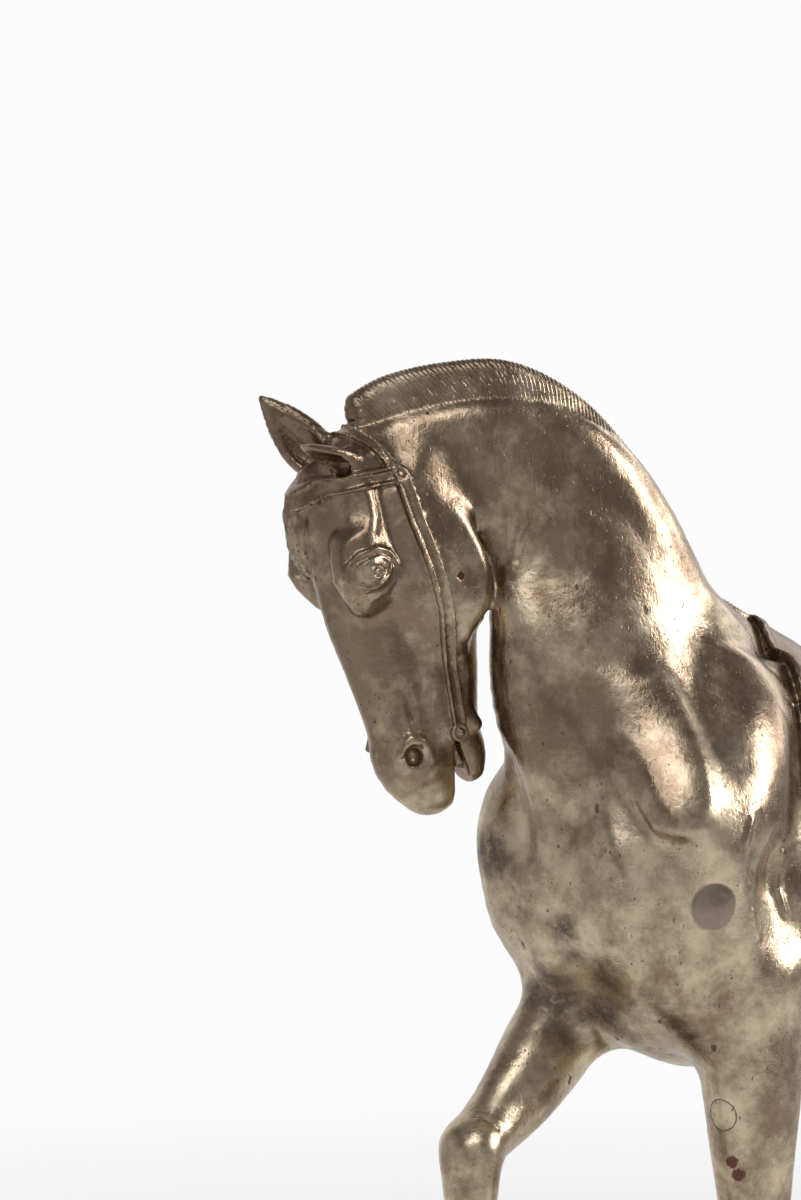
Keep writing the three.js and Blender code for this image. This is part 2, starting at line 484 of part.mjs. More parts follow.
// A saddle cloth lies over the back, with a raised hem, and a girth holds it.
const CLOTH = { front: 1.6, slant: 0.55, rear: 27, low: 76, rise: 0.8, hem: 1.5, hemRise: 0.35 };
const GIRTH = { front: 4.5, rear: 8.5, rise: 0.7 };
function saddlery(x, y, z) {
  const body = backField(x, y, z);
  if (body > 4) return OUTSIDE;
  const slant = CLOTH.slant * Math.abs(y);
  const inset = Math.min(x - (CLOTH.front - slant), CLOTH.rear + slant / 4 - x, z - CLOTH.low);
  const onHem = Math.max(-inset, inset - CLOTH.hem);
  const cloth = Math.max(body - CLOTH.rise, -inset);
  const hem = Math.max(body - CLOTH.rise - CLOTH.hemRise, onHem);
  const girth = Math.max(body - GIRTH.rise, GIRTH.front - slant / 2 - x, x - GIRTH.rear + slant / 2);
  return Math.min(cloth, hem, girth);
}

function horseField(x, y, z) {
  const body = bodyField(x, y, z);
  const dressed = aboveTheBridle(x, y, z, Math.min(body, bridle(body, x, y, z)));
  return blendedMin(dressed, saddlery(x, y, z), 0.3);
}

// The skin: the zero surface of the field, found in tetrahedra, six to each cell of a grid.
const TETRAHEDRA = [[0, 1, 3, 7], [0, 3, 2, 7], [0, 2, 6, 7], [0, 6, 4, 7], [0, 4, 5, 7], [0, 5, 1, 7]];
const CORNERS = [0, 1, 2, 3, 4, 5, 6, 7].map((n) => [n & 1, (n >> 1) & 1, (n >> 2) & 1]);

function skinOf(field, low, high, step) {
  const count = low.map((v, i) => Math.ceil((high[i] - v) / step) + 1);
  const indexOf = (i, j, k) => i + count[0] * (j + count[1] * k);
  const placeOf = (i, j, k) => [low[0] + i * step, low[1] + j * step, low[2] + k * step];
  const values = new Float32Array(count[0] * count[1] * count[2]);
  for (let k = 0; k < count[2]; k++)
    for (let j = 0; j < count[1]; j++)
      for (let i = 0; i < count[0]; i++) values[indexOf(i, j, k)] = field(...placeOf(i, j, k));
  const points = [];
  const faces = [];
  const known = new Map();
  const crossing = (cell, a, b) => {
    const [lowCorner, highCorner] = a < b ? [a, b] : [b, a];
    const cornerOf = (n) => CORNERS[n].map((c, axis) => cell[axis] + c);
    const [p, q] = [cornerOf(lowCorner), cornerOf(highCorner)];
    const key = indexOf(...p) * 8 + (lowCorner ^ highCorner);
    if (!known.has(key)) {
      const [f, g] = [values[indexOf(...p)], values[indexOf(...q)]];
      const t = Math.min(Math.max(f / (f - g), 0.05), 0.95);
      known.set(key, points.push(mixPoint(placeOf(...p), placeOf(...q), t)) - 1);
    }
    return known.get(key);
  };
  const face = (ids, inside) => {
    const [a, b, c] = ids.map((id) => points[id]);
    const outward = dot(cross(sub(b, a), sub(c, a)), sub(a, inside)) > 0;
    faces.push(outward ? ids : [ids[0], ids[2], ids[1]]);
  };
  for (let k = 0; k < count[2] - 1; k++)
    for (let j = 0; j < count[1] - 1; j++)
      for (let i = 0; i < count[0] - 1; i++) {
        const cell = [i, j, k];
        const within = CORNERS.map(([x, y, z]) => values[indexOf(i + x, j + y, k + z)] < 0);
        if (within.every((v) => v === within[0])) continue;
        for (const corners of TETRAHEDRA) {
          const inner = corners.filter((n) => within[n]);
          const outer = corners.filter((n) => !within[n]);
          if (!inner.length || !outer.length) continue;
          const inside = placeOf(...CORNERS[inner[0]].map((c, axis) => cell[axis] + c));
          if (inner.length === 2) {
            const ring = [[0, 0], [0, 1], [1, 1], [1, 0]].map(([m, n]) => crossing(cell, inner[m], outer[n]));
            face([ring[0], ring[1], ring[2]], inside);
            face([ring[0], ring[2], ring[3]], inside);
          } else {
            face(inner.flatMap((m) => outer.map((n) => crossing(cell, m, n))), inside);
          }
        }
      }
  return { points, faces };
}

// Only the outer skin is kept: a bubble between two muscles has no face outside.
function outerShell({ points, faces }) {
  const parent = points.map((_, i) => i);
  const rootOf = (i) => {
    while (parent[i] !== i) i = parent[i] = parent[parent[i]];
    return i;
  };
  faces.forEach(([a, b, c]) => {
    parent[rootOf(b)] = rootOf(a);
    parent[rootOf(c)] = rootOf(a);
  });
  const counts = new Map();
  faces.forEach(([a]) => counts.set(rootOf(a), (counts.get(rootOf(a)) ?? 0) + 1));
  const [largest] = [...counts].sort((a, b) => b[1] - a[1])[0];
  return { points, faces: faces.filter(([a]) => rootOf(a) === largest) };
}

// Thinning: the edge whose loss moves the skin least is closed first. Each corner carries the sum of the
// squared distances to the planes that met there, as the ten numbers of a symmetric 4 by 4 matrix.
const KEEP_SHAPE = 3e-4;
const HEAD_CARE = 6;

function planeError([a, b, c, d], weight) {
  return [a * a, a * b, a * c, a * d, b * b, b * c, b * d, c * c, c * d, d * d].map((v) => v * weight);
}

function errorAt(e, [x, y, z]) {
  const squares = e[0] * x * x + e[4] * y * y + e[7] * z * z;
  const products = e[1] * x * y + e[2] * x * z + e[5] * y * z;
  return squares + 2 * (products + e[3] * x + e[6] * y + e[8] * z) + e[9];
}

function bestPlace(e, start, pull) {
  const rows = [[e[0] + pull, e[1], e[2]], [e[1], e[4] + pull, e[5]], [e[2], e[5], e[7] + pull]];
  const right = [pull * start[0] - e[3], pull * start[1] - e[6], pull * start[2] - e[8]];
  const [u, v, w] = [cross(rows[1], rows[2]), cross(rows[2], rows[0]), cross(rows[0], rows[1])];
  const size = dot(rows[0], u);
  return [0, 1, 2].map((i) => (u[i] * right[0] + v[i] * right[1] + w[i] * right[2]) / size);
}

class Heap {
  items = [];
  push(item) {
    let i = this.items.push(item) - 1;
    while (i > 0) {
      const parent = (i - 1) >> 1;
      if (this.items[parent].cost <= item.cost) break;
      this.items[i] = this.items[parent];
      i = parent;
    }
    this.items[i] = item;
  }
  pop() {
    const top = this.items[0];
    const item = this.items.pop();
    const length = this.items.length;
    let i = 0;
    while (2 * i + 1 < length) {
      let child = 2 * i + 1;
      if (child + 1 < length && this.items[child + 1].cost < this.items[child].cost) child++;
      if (this.items[child].cost >= item.cost) break;
      this.items[i] = this.items[child];
      i = child;
    }
    if (length) this.items[i] = item;
    return top;
  }
}

function thinned({ points, faces }, wanted) {
  const errors = points.map(() => new Array(10).fill(0));
  const around = points.map(() => new Set());
  const version = new Int32Array(points.length);
  const alive = new Uint8Array(faces.length).fill(1);
  const normalOf = (ids) => cross(sub(points[ids[1]], points[ids[0]]), sub(points[ids[2]], points[ids[0]]));
  faces.forEach((ids, f) => {
    const normal = normalOf(ids);
    const twiceArea = Math.hypot(...normal);
    const care = points[ids[0]][0] < HEAD_BEHIND ? HEAD_CARE : 1;
    const facing = scale(normal, 1 / twiceArea);
    const plane = planeError([...facing, -dot(facing, points[ids[0]])], twiceArea * care);
    for (const id of ids) {
      around[id].add(f);
      plane.forEach((v, i) => (errors[id][i] += v));
    }
  });
  const neighbours = (id) => new Set([...around[id]].flatMap((f) => faces[f]).filter((n) => n !== id));
  const heap = new Heap();
  const offer = (a, b) => {
    const sum = errors[a].map((v, i) => v + errors[b][i]);
    const middle = mixPoint(points[a], points[b], 0.5);
    const length = Math.hypot(...sub(points[a], points[b]));
    const place = bestPlace(sum, middle, KEEP_SHAPE * (1 + sum[0] + sum[4] + sum[7]));
    heap.push({ cost: errorAt(sum, place) + KEEP_SHAPE * length ** 4, a, b, place, stamp: version[a] + version[b] });
  };
  const turnsOver = (id, other, place) => {
    for (const f of around[id]) {
      if (faces[f].includes(other)) continue;
      const before = unit(normalOf(faces[f]));
      const [p, q, r] = faces[f].map((n) => (n === id ? place : points[n]));
      const after = cross(sub(q, p), sub(r, p));
      if (dot(before, after) < 0.3 * Math.hypot(...after) || Math.hypot(...after) < 1e-3) return true;
    }
    return false;
  };
  points.forEach((_, a) => neighbours(a).forEach((b) => a < b && offer(a, b)));
  let left = faces.length;
  while (left > wanted && heap.items.length) {
    const { a, b, place, stamp } = heap.pop();
    if (stamp !== version[a] + version[b] || version[a] < 0 || version[b] < 0) continue;
    const shared = [...neighbours(a)].filter((n) => neighbours(b).has(n));
    if (shared.length !== 2 || turnsOver(a, b, place) || turnsOver(b, a, place)) continue;
    for (const f of [...around[b]]) {
      if (faces[f].includes(a)) {
        alive[f] = 0;
        left--;
        faces[f].forEach((n) => around[n].delete(f));
      } else {
        faces[f] = faces[f].map((n) => (n === b ? a : n));
        around[a].add(f);
      }
    }
    around[b].clear();
    points[a] = place;
    errors[b].forEach((v, i) => (errors[a][i] += v));
    version[b] = -(2 ** 30);
    version[a] += 1;
    neighbours(a).forEach((n) => offer(Math.min(a, n), Math.max(a, n)));
  }
  return { points, faces: faces.filter((_, f) => alive[f]) };
}

// A mesh's corners numbered afresh, so that none is unused.
function geometryOf({ points, faces }) {
  const order = new Map();
  const positions = [];
  const index = faces.flat().map((id) => {
    if (!order.has(id)) {
      order.set(id, order.size);
      positions.push(...points[id]);
    }
    return order.get(id);
  });
  const geometry = new THREE.BufferGeometry();
  geometry.setAttribute("position", new THREE.Float32BufferAttribute(positions, 3));
  geometry.setIndex(index);
  return geometry;
}

const wasm = await Module();
wasm.setup();

function solidOf(geometry) {
  const bare = geometry.clone();
  bare.deleteAttribute("normal");
  bare.deleteAttribute("uv");
  const merged = mergeVertices(bare, 1e-4);
  const mesh = new wasm.Mesh({
    numProp: 3,
    vertProperties: new Float32Array(merged.attributes.position.array),
    triVerts: new Uint32Array(merged.index.array),
  });
  return new wasm.Manifold(mesh);
}

function geometryFrom(solid) {
  const { vertProperties, triVerts } = solid.getMesh();
  const geometry = new THREE.BufferGeometry();
  geometry.setAttribute("position", new THREE.BufferAttribute(vertProperties, 3));
  geometry.setIndex(new THREE.BufferAttribute(triVerts, 1));
  geometry.computeVertexNormals();
  return geometry;
}

function horseGeometry() {
  const reach = { low: [-64, -19, -6], high: [86, 34, 130] };
  const skin = thinned(outerShell(skinOf(horseField, reach.low, reach.high, GRID / U)), HORSE_TRIANGLES);
  const standing = geometryOf(skin);
  standing.scale(U, U, U);
  const ground = new THREE.BoxGeometry(600, 400, 60);
  ground.translate(0, 0, -30);
  return geometryFrom(solidOf(standing).subtract(solidOf(ground)));
}

// The plinth: a plate with a straight foot, a hollow moulding and a thin upper edge.
const CORNER_RADIUS = 7;
const CORNER_STEPS = 4;

function plinthProfile() {
  const foot = [[0, 0], [0, 0.34]];
  const quarterTurn = [0, 0.25, 0.5, 0.75, 1].map((t) => t * (Math.PI / 2));
  const hollow = quarterTurn.map((angle) => [0.16 + 0.3 * Math.sin(angle), 0.4 + 0.36 * (1 - Math.cos(angle))]);
  const edge = [[0.3, 0.78], [0.3, 0.96], [0.34, 1]];
  return [...foot, ...hollow, ...edge].map((p) => p.map((v) => v * PLINTH_HEIGHT));
}

function roundedRing(inset, z) {
  const [halfLength, halfWidth] = [PLINTH_LENGTH / 2 - inset, PLINTH_WIDTH / 2 - inset];
  const radius = CORNER_RADIUS - inset * 0.5;
  return [0, 1, 2, 3].flatMap((quarter) => {
    const centre = [[1, 1], [-1, 1], [-1, -1], [1, -1]][quarter];
    return Array.from({ length: CORNER_STEPS + 1 }, (_, i) => {
      const angle = ((quarter + i / CORNER_STEPS) * Math.PI) / 2;
      return [
        centre[0] * (halfLength - radius) + radius * Math.cos(angle),
        centre[1] * (halfWidth - radius) + radius * Math.sin(angle),
        z,
      ];
    });
  });
}

function plinthGeometry() {
  const rings = plinthProfile().map(([inset, z]) => roundedRing(inset, z));
  const size = rings[0].length;
  const points = [...rings.flat(), [0, 0, 0], [0, 0, PLINTH_HEIGHT]];
  const [under, top] = [points.length - 2, points.length - 1];
  const faces = [];
  for (let i = 0; i < size; i++) {
    const next = (i + 1) % size;
    faces.push([under, next, i]);
    faces.push([top, (rings.length - 1) * size + i, (rings.length - 1) * size + next]);
    for (let level = 0; level < rings.length - 1; level++) {
      const [a, b] = [level * size + i, level * size + next];
      faces.push([a, b, b + size], [a, b + size, a + size]);
    }
  }
  return geometryOf({ points, faces });
}

function piece(name, geometry, material) {
  const mesh = new THREE.Mesh(geometry, material);
  mesh.name = name;
  return mesh;
}

const giltBronze = (color, roughness) => new THREE.MeshStandardMaterial({ color, roughness, metalness: 1 });

const statuette = new THREE.Group();
const horse = piece("horse", horseGeometry(), giltBronze(0xa08a66, 0.34));
horse.position.set(WITHERS_FROM_CENTRE, 0, PLINTH_HEIGHT + SEAT_GAP);
statuette.add(horse, piece("plinth", plinthGeometry(), giltBronze(0x94805c, 0.4)));

export default statuette;
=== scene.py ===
# Looks for a gilt bronze statuette of a walking horse on a low plinth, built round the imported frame.
#
# The horse is one casting. Its skin is the zero surface of a field made of swollen lines (bones, muscles,
# locks) that melt into each other, the same as in the solid. The chased relief that is too fine for the solid
# is added.
import math

import bpy
import numpy as np
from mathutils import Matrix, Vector


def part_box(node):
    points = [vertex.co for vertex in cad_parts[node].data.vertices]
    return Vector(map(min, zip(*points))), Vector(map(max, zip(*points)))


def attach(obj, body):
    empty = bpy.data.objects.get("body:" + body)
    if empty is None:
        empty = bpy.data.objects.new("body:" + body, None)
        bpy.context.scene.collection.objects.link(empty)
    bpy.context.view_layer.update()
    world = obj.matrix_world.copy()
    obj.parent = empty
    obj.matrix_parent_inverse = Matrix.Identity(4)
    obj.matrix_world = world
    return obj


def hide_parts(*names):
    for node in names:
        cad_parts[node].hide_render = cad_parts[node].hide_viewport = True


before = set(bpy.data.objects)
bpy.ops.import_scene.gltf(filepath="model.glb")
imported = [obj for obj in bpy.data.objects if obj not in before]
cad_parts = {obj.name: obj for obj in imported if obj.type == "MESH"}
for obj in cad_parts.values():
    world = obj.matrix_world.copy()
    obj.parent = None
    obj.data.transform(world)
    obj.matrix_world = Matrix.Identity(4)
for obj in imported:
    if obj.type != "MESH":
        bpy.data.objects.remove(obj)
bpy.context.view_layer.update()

# Proportions are in hundredths of the height at the withers, from a point on the ground below the withers:
# x towards the tail, y towards the horse's right, z up.
WITHERS_HEIGHT = 0.240
U = WITHERS_HEIGHT / 100
SEAT_GAP = 0.0003
WITHERS_FROM_CENTRE = -0.050
PLINTH_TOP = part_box("plinth")[1].z
HORSE_ORIGIN = np.array([WITHERS_FROM_CENTRE, 0.0, PLINTH_TOP + SEAT_GAP])

CELL = 0.3
HALVINGS = 2
FINE_SPLITS = 2
HORSE_TRIANGLES = 190000

STEPS_PER_SPAN = 4
LONG_STEPS = 10
MARGIN = 2.0
OUTSIDE = 1e3
LEFT, RIGHT = -1, 1
SIDES = (LEFT, RIGHT)


def unit(v):
    return v / np.linalg.norm(v, axis=-1, keepdims=True)


def across_body(yaw):
    return np.array([math.sin(math.radians(yaw)), math.cos(math.radians(yaw)), 0.0])


def resampled(stations, steps):
    """A smooth run of stations through the given ones, by Catmull and Rom's rule."""
    rows = np.zeros((len(stations), 6))
    for row, station in zip(rows, stations):
        row[: len(station)] = station
    last = len(rows) - 1
    fine = []
    for i in range(last):
        p, q, r, s = (rows[min(max(i + k, 0), last)] for k in (-1, 0, 1, 2))
        for t in np.arange(steps) / steps:
            fine.append(q + 0.5 * t * (r - p + t * (2 * p - 5 * q + 4 * r - s + t * (3 * (q - r) + s - p))))
    fine.append(rows[last])
    return np.array(fine)


class SwollenLine:
    """Each station is (x, y, z, half width, half depth, yaw). The width lies along the line's side direction,
    the depth square to it, and yaw turns the side direction about the vertical."""

    def __init__(self, stations, blend=3.0, side=None, cut=False, steps=STEPS_PER_SPAN):
        fine = resampled(stations, steps)
        moved = np.linalg.norm(np.diff(fine[:, :3], axis=0), axis=1) > 1e-6
        start, end = fine[:-1][moved], fine[1:][moved]
        along = end[:, :3] - start[:, :3]
        self.length = np.linalg.norm(along, axis=1)
        axis = along / self.length[:, None]
        yaw = np.radians((start[:, 5] + end[:, 5]) / 2)
        if side is None:
            wanted = np.stack([np.sin(yaw), np.cos(yaw), 0 * yaw], 1)
        else:
            wanted = np.tile(side, (len(axis), 1))
        across = unit(wanted - axis * (wanted * axis).sum(1, keepdims=True))
        self.turn = np.stack([axis, across, np.cross(axis, across)], 1).astype(np.float32)
        self.start, self.end = start, end
        self.blend, self.cut = blend, cut
        reach = np.maximum(start[:, 3:5].max(1), end[:, 3:5].max(1))[:, None] + blend + MARGIN
        self.low = np.minimum(start[:, :3], end[:, :3]) - reach
        self.high = np.maximum(start[:, :3], end[:, :3]) + reach

    def distance(self, x, y, z):
        """The distance of each point, or OUTSIDE where the line is far away. The points are in order of x."""
        best = np.full(len(x), OUTSIDE, np.float32)
        for k, length in enumerate(self.length):
            low, high = self.low[k], self.high[k]
            i, j = np.searchsorted(x, (low[0], high[0]))
            inside = (y[i:j] > low[1]) & (y[i:j] < high[1]) & (z[i:j] > low[2]) & (z[i:j] < high[2])
            near = i + np.flatnonzero(inside)
            if not len(near):
                continue
            from_start = np.stack([x[near], y[near], z[near]]) - self.start[k, :3, None].astype(np.float32)
            run, wide, thick = self.turn[k] @ from_start
            t = np.clip(run / np.float32(length), 0, 1)
            past = run - t * np.float32(length)
            sizes, growth = self.start[k, 3:5], self.end[k, 3:5] - self.start[k, 3:5]
            w, d = (np.float32(size) + np.float32(more) * t for size, more in zip(sizes, growth))
            cap = np.minimum(w, d)
            a, b, c = wide / w, thick / d, past / cap
            k0 = np.sqrt(a * a + b * b + c * c)
            k1 = np.sqrt((a / w) ** 2 + (b / d) ** 2 + (c / cap) ** 2)
            value = np.where(k1 < 1e-6, -cap, k0 * (k0 - 1) / np.maximum(k1, 1e-6))
            best[near] = np.minimum(best[near], value)
        return best


def blended_min(a, b, k):
    h = np.clip(0.5 + 0.5 * (b - a) / k, 0, 1)
    return b + (a - b) * h - k * h * (1 - h)


def field_of(lines):
    """The distance to lines blended in order, on top of a field that is there already. The points are in
    order of x."""

    def field(x, y, z, already=None):
        value = np.full(len(x), OUTSIDE, np.float32) if already is None else already.astype(np.float32)
        for line in lines:
            low, high = line.low.min(0), line.high.max(0)
            i, j = np.searchsorted(x, (low[0], high[0]))
            inside = (y[i:j] > low[1]) & (y[i:j] < high[1]) & (z[i:j] > low[2]) & (z[i:j] < high[2])
            near = i + np.flatnonzero(inside)
            if not len(near):
                continue
            d = line.distance(x[near], y[near], z[near])
            if line.cut:
                value[near] = -blended_min(-value[near], d, line.blend)
            else:
                value[near] = blended_min(value[near], d, line.blend)
        return value

    return field


def on_side(side, stations):
    """The stations on one side: the second number of each is its distance out from the middle."""
    return [(a, out * side, *rest) for a, out, *rest in stations]


def on_both_sides(made_on):
    return [line for side in SIDES for line in made_on(side)]


def trunk():
    return [
        SwollenLine([
            (-19, 0, 74, 8, 9.5), (-13, 0, 73.5, 11.4, 15.4), (-4, 0, 73.6, 12.8, 19), (8, 0, 73, 14, 19),
            (20, 0, 73.6, 15, 18.2), (32, 0, 76, 14.6, 17), (43, 0, 79.5, 13, 15), (52, 0, 82, 10.5, 12),
        ]),
        SwollenLine([
            (-9, 0.3, 94, 3.2, 5), (-2, 0, 95, 3, 4.2), (4, 0, 93.4, 2.8, 3.6), (9, 0, 91, 2.8, 3.4),
            (15, 0, 88.5, 2.6, 3),
        ], 5),
        SwollenLine([(-15, 0, 63, 5, 6), (-9, 0, 60.5, 6, 5.4), (0, 0, 60, 6, 5)], 4),
        SwollenLine([(34, 0, 84, 10, 9.4), (46, 0, 86.5, 11.4, 11), (57, 0, 83.5, 9, 10)], 5),
    ]


def shoulder_and_breast(side):
    """The raised leg carries the right shoulder forward, and makes it fuller."""
    forward, fuller = (3.6, 1) if side == RIGHT else (0, 0)
    blade = [(-2, 7, 91, 3, 4.5), (-8, 8.2, 87, 3.8, 6), (-14 - forward / 2, 9, 82.5, 4.2, 6)]
    blade += [(-18.5 - forward, 9.2, 78, 4.4, 4.8)]
    upper_arm = [(-2, 9.2, 80, 3.8, 7.6), (-3, 9.8, 72, 4.8, 8), (-4, 9.2, 63, 4, 5.4)]
    point = [
        (-18.8 - forward, 9.2, 80 + fuller, 4.2 + fuller / 2, 4.4), (-18.8 - forward, 9.4, 76.5, 4.8, 5.2),
        (-17 - forward, 9, 71, 4.6 + fuller, 5.4), (-11 - forward, 9, 65, 4.4 + fuller, 5.6),
    ]
    breast = [
        (-21, 4.4, 84, 4.4, 5.4), (-22, 4.8, 76, 4.8, 6), (-19.6, 5, 68, 4.8, 6), (-14, 6, 61.5, 4.6, 5),
    ]
    return [
        SwollenLine(on_side(side, blade), 4),
        SwollenLine(on_side(side, upper_arm), 4),
        SwollenLine(on_side(side, point), 3),
        SwollenLine(on_side(side, breast), 2.5),
    ]


def left_shoulder():
    """The flat of the left shoulder, with a valley before it, and the blade behind it."""
    flat = [(-22.3, -4.5, 93, 2.6, 1.3), (-22.9, -5.8, 90.4, 4, 1.4), (-23.75, -7.5, 86.8, 4.6, 1.5)]
    flat += [(-24.3, -8.8, 84.3, 4.6, 1.5), (-25, -9.8, 81.9, 4, 1.4), (-25.4, -10.2, 80.5, 2.8, 1.2)]
    blade = [(-11, -6.6, 95, 3, 1.6), (-13.4, -9.1, 89.7, 4, 2), (-14.8, -10.6, 85.5, 4.2, 2)]
    blade += [(-15.4, -11.2, 81.5, 4, 2)]
    front = [(-28, -2.6, 91.5, 1.2, 1.2), (-27.8, -4.4, 87.6, 1.5, 1.5), (-28, -6.9, 82.4, 1.5, 1.5)]
    front += [(-27.2, -11, 77.6, 1.4, 1.4), (-22.4, -15, 74.8, 1.1, 1.1)]
    return [
        SwollenLine(blade, 5, unit(np.array([0.96, -0.29, 0]))),
        SwollenLine(flat, 3, unit(np.array([0.63, -0.78, 0]))),
        SwollenLine(front, 3.2, cut=True),
    ]


# The neck leaves the breast along the body and swings to the horse's right as it arches over.
NECK = [
    (-13, 0.8, 84, 10, 14.8, 8), (-18.8, 2.4, 94, 8, 13, 16), (-20.6, 4, 104, 6, 10.4, 23),
    (-24.6, 6.8, 111.4, 4.4, 8.8, 28), (-30.6, 10.8, 115.2, 3.2, 6, 30), (-36.5, 14.6, 114.8, 2.6, 5.4, 28),
    (-40.4, 17, 113.8, 2.6, 4.4, 26),
]
CREST = [
    (-3.6, 0.1, 96.8, 3, 3, 6), (-8.8, 0.4, 101.3, 3, 3, 10), (-13.2, 1.1, 107.6, 2.6, 3, 16),
    (-17.5, 2.5, 113.4, 2.4, 2.8, 24), (-22.3, 4.9, 118, 2.2, 2.8, 29), (-28, 8.6, 120, 2, 2.6, 31),
    (-34.5, 13, 119, 1.9, 2.4, 30), (-39.4, 16.4, 117, 1.8, 2, 26),
]
MANE = [
    (0.6, -0.2, 99.2, 0.5, 0.5, 0), (-4, 0, 100.9, 0.7, 0.8, 6),
    (-9.1, 0.4, 102.8, 0.7, 0.9, 12), (-14, 1.3, 111.1, 0.8, 1.4, 18), (-18.6, 2.9, 117.3, 1, 1.7, 24),
    (-23, 5.2, 121.2, 1.2, 2.1, 29), (-27.8, 8.4, 123.4, 1.3, 2.5, 31), (-32.6, 11.7, 123, 1.4, 2.8, 30),
    (-37, 14.8, 121.8, 1.5, 2.9, 28), (-39.8, 16.8, 120.6, 1.5, 2.4, 26),
]
CREST_BEVEL = [
    (-24.2, 6.5, 121, 2.2, 1.2), (-22.4, 4.8, 119.6, 2.6, 1.3), (-19.3, 2.2, 116, 2.7, 1.3),
    (-16.9, 0.4, 112, 2.7, 1.3), (-14.7, -1.4, 107, 2.7, 1.3), (-12.6, -2.7, 102.2, 2.9, 1.3),
    (-10.3, -4, 99, 3.4, 1.4), (-8, -5.2, 96, 3.6, 1.4),
]
# Where the front edge of the neck runs down into the breast beside the far shoulder.
THROAT_FOLD = [
    (-29.2, 7.6, 86, 0.8, 0.8), (-29.3, 6.6, 81.4, 1.3, 1.3), (-28.8, 5.6, 77.6, 0.9, 0.9),
]
LONG_MUSCLE = [
    (-28.6, 5.4, 103, 1, 2.4, 27), (-26, 3, 98, 1.8, 3.8, 24), (-22.6, -1.6, 91, 2.6, 4.6, 18),
    (-18.5, -6, 83, 3, 4.6, 10),
]


def neck():
    """The crest is flat along its left side, where it slopes up to the mane from a ridge."""
    uphill = unit(np.array([0.93, 0.09, 0.36]))
    runs = [
        (NECK, 4, None), (CREST, 3, None), (CREST_BEVEL, 1.4, uphill),
        (MANE, 0.5, None), (LONG_MUSCLE, 3, None),
    ]
    forms = [SwollenLine(stations, blend, side, steps=LONG_STEPS) for stations, blend, side in runs]
    return [*forms, SwollenLine(THROAT_FOLD, 2.4, cut=True)]


def mane_lines():
    return [SwollenLine(MANE, 0.5)]


# The head has its own axes from the poll: along the face towards the lips, out to the horse's right, and
# forward.
POLL = np.array([-41.8, 17.7, 118.2])
HEAD_YAW = 25
CHIN_TUCK = math.radians(17)
HEAD_AHEAD = np.array([-math.cos(math.radians(HEAD_YAW)), math.sin(math.radians(HEAD_YAW)), 0.0])
HEAD_RIGHT = across_body(HEAD_YAW)
UP = np.array([0.0, 0.0, 1.0])
FACE_DOWN = -math.sin(CHIN_TUCK) * HEAD_AHEAD - math.cos(CHIN_TUCK) * UP
FACE_FRONT = math.cos(CHIN_TUCK) * HEAD_AHEAD - math.sin(CHIN_TUCK) * UP
HEAD_AXES = np.stack([FACE_DOWN, HEAD_RIGHT, FACE_FRONT])


def head_line(stations, blend=1.5, side=None, cut=False):
    placed = [(*(POLL + np.array(station[:3]) @ HEAD_AXES), *station[3:]) for station in stations]
    return SwollenLine(placed, blend, HEAD_RIGHT if side is None else side, cut)


def skull():
    return [
        head_line([
            (4.4, 0, -0.8, 4.2, 5), (8, 0, 0, 4.8, 6.2), (12, 0, 0.3, 4.7, 6.4), (17, 0, 0.9, 4.2, 5.7),
            (23, 0, 1, 3.8, 5), (29, 0, 1, 3.7, 4.5), (32.6, 0, 1.25, 3.8, 4.6), (35.4, 0, 0.9, 3.3, 3.3),
        ], 2),
        head_line([
            (10, 0, -4, 3.8, 4.4), (16, 0, -5, 3.9, 4.7), (23, 0, -4.4, 3.3, 3.7), (29, 0, -3.4, 3.4, 2.8),
        ]),
        head_line([(29, 0, -3, 2.8, 2.3), (33.2, 0, -3.6, 2.7, 2.3), (35.3, 0, -3.7, 2.2, 1.6)], 0.8),
        head_line([(18, 0, -1.5, 4, 3), (24, 0, -1.6, 3.8, 2.6), (30, 0, -1.4, 3.8, 2.4)]),
        head_line([(15, 0, -7.4, 3.4, 1.6), (19.2, 0, -7.9, 3, 1.2), (20.9, 0, -8.2, 2.4, 0.8)], 1.2),
        head_line([(2.8, 0.9, 3.8, 1.6, 1.3), (4.8, 1, 5, 1.8, 1.4)], 1),
    ]


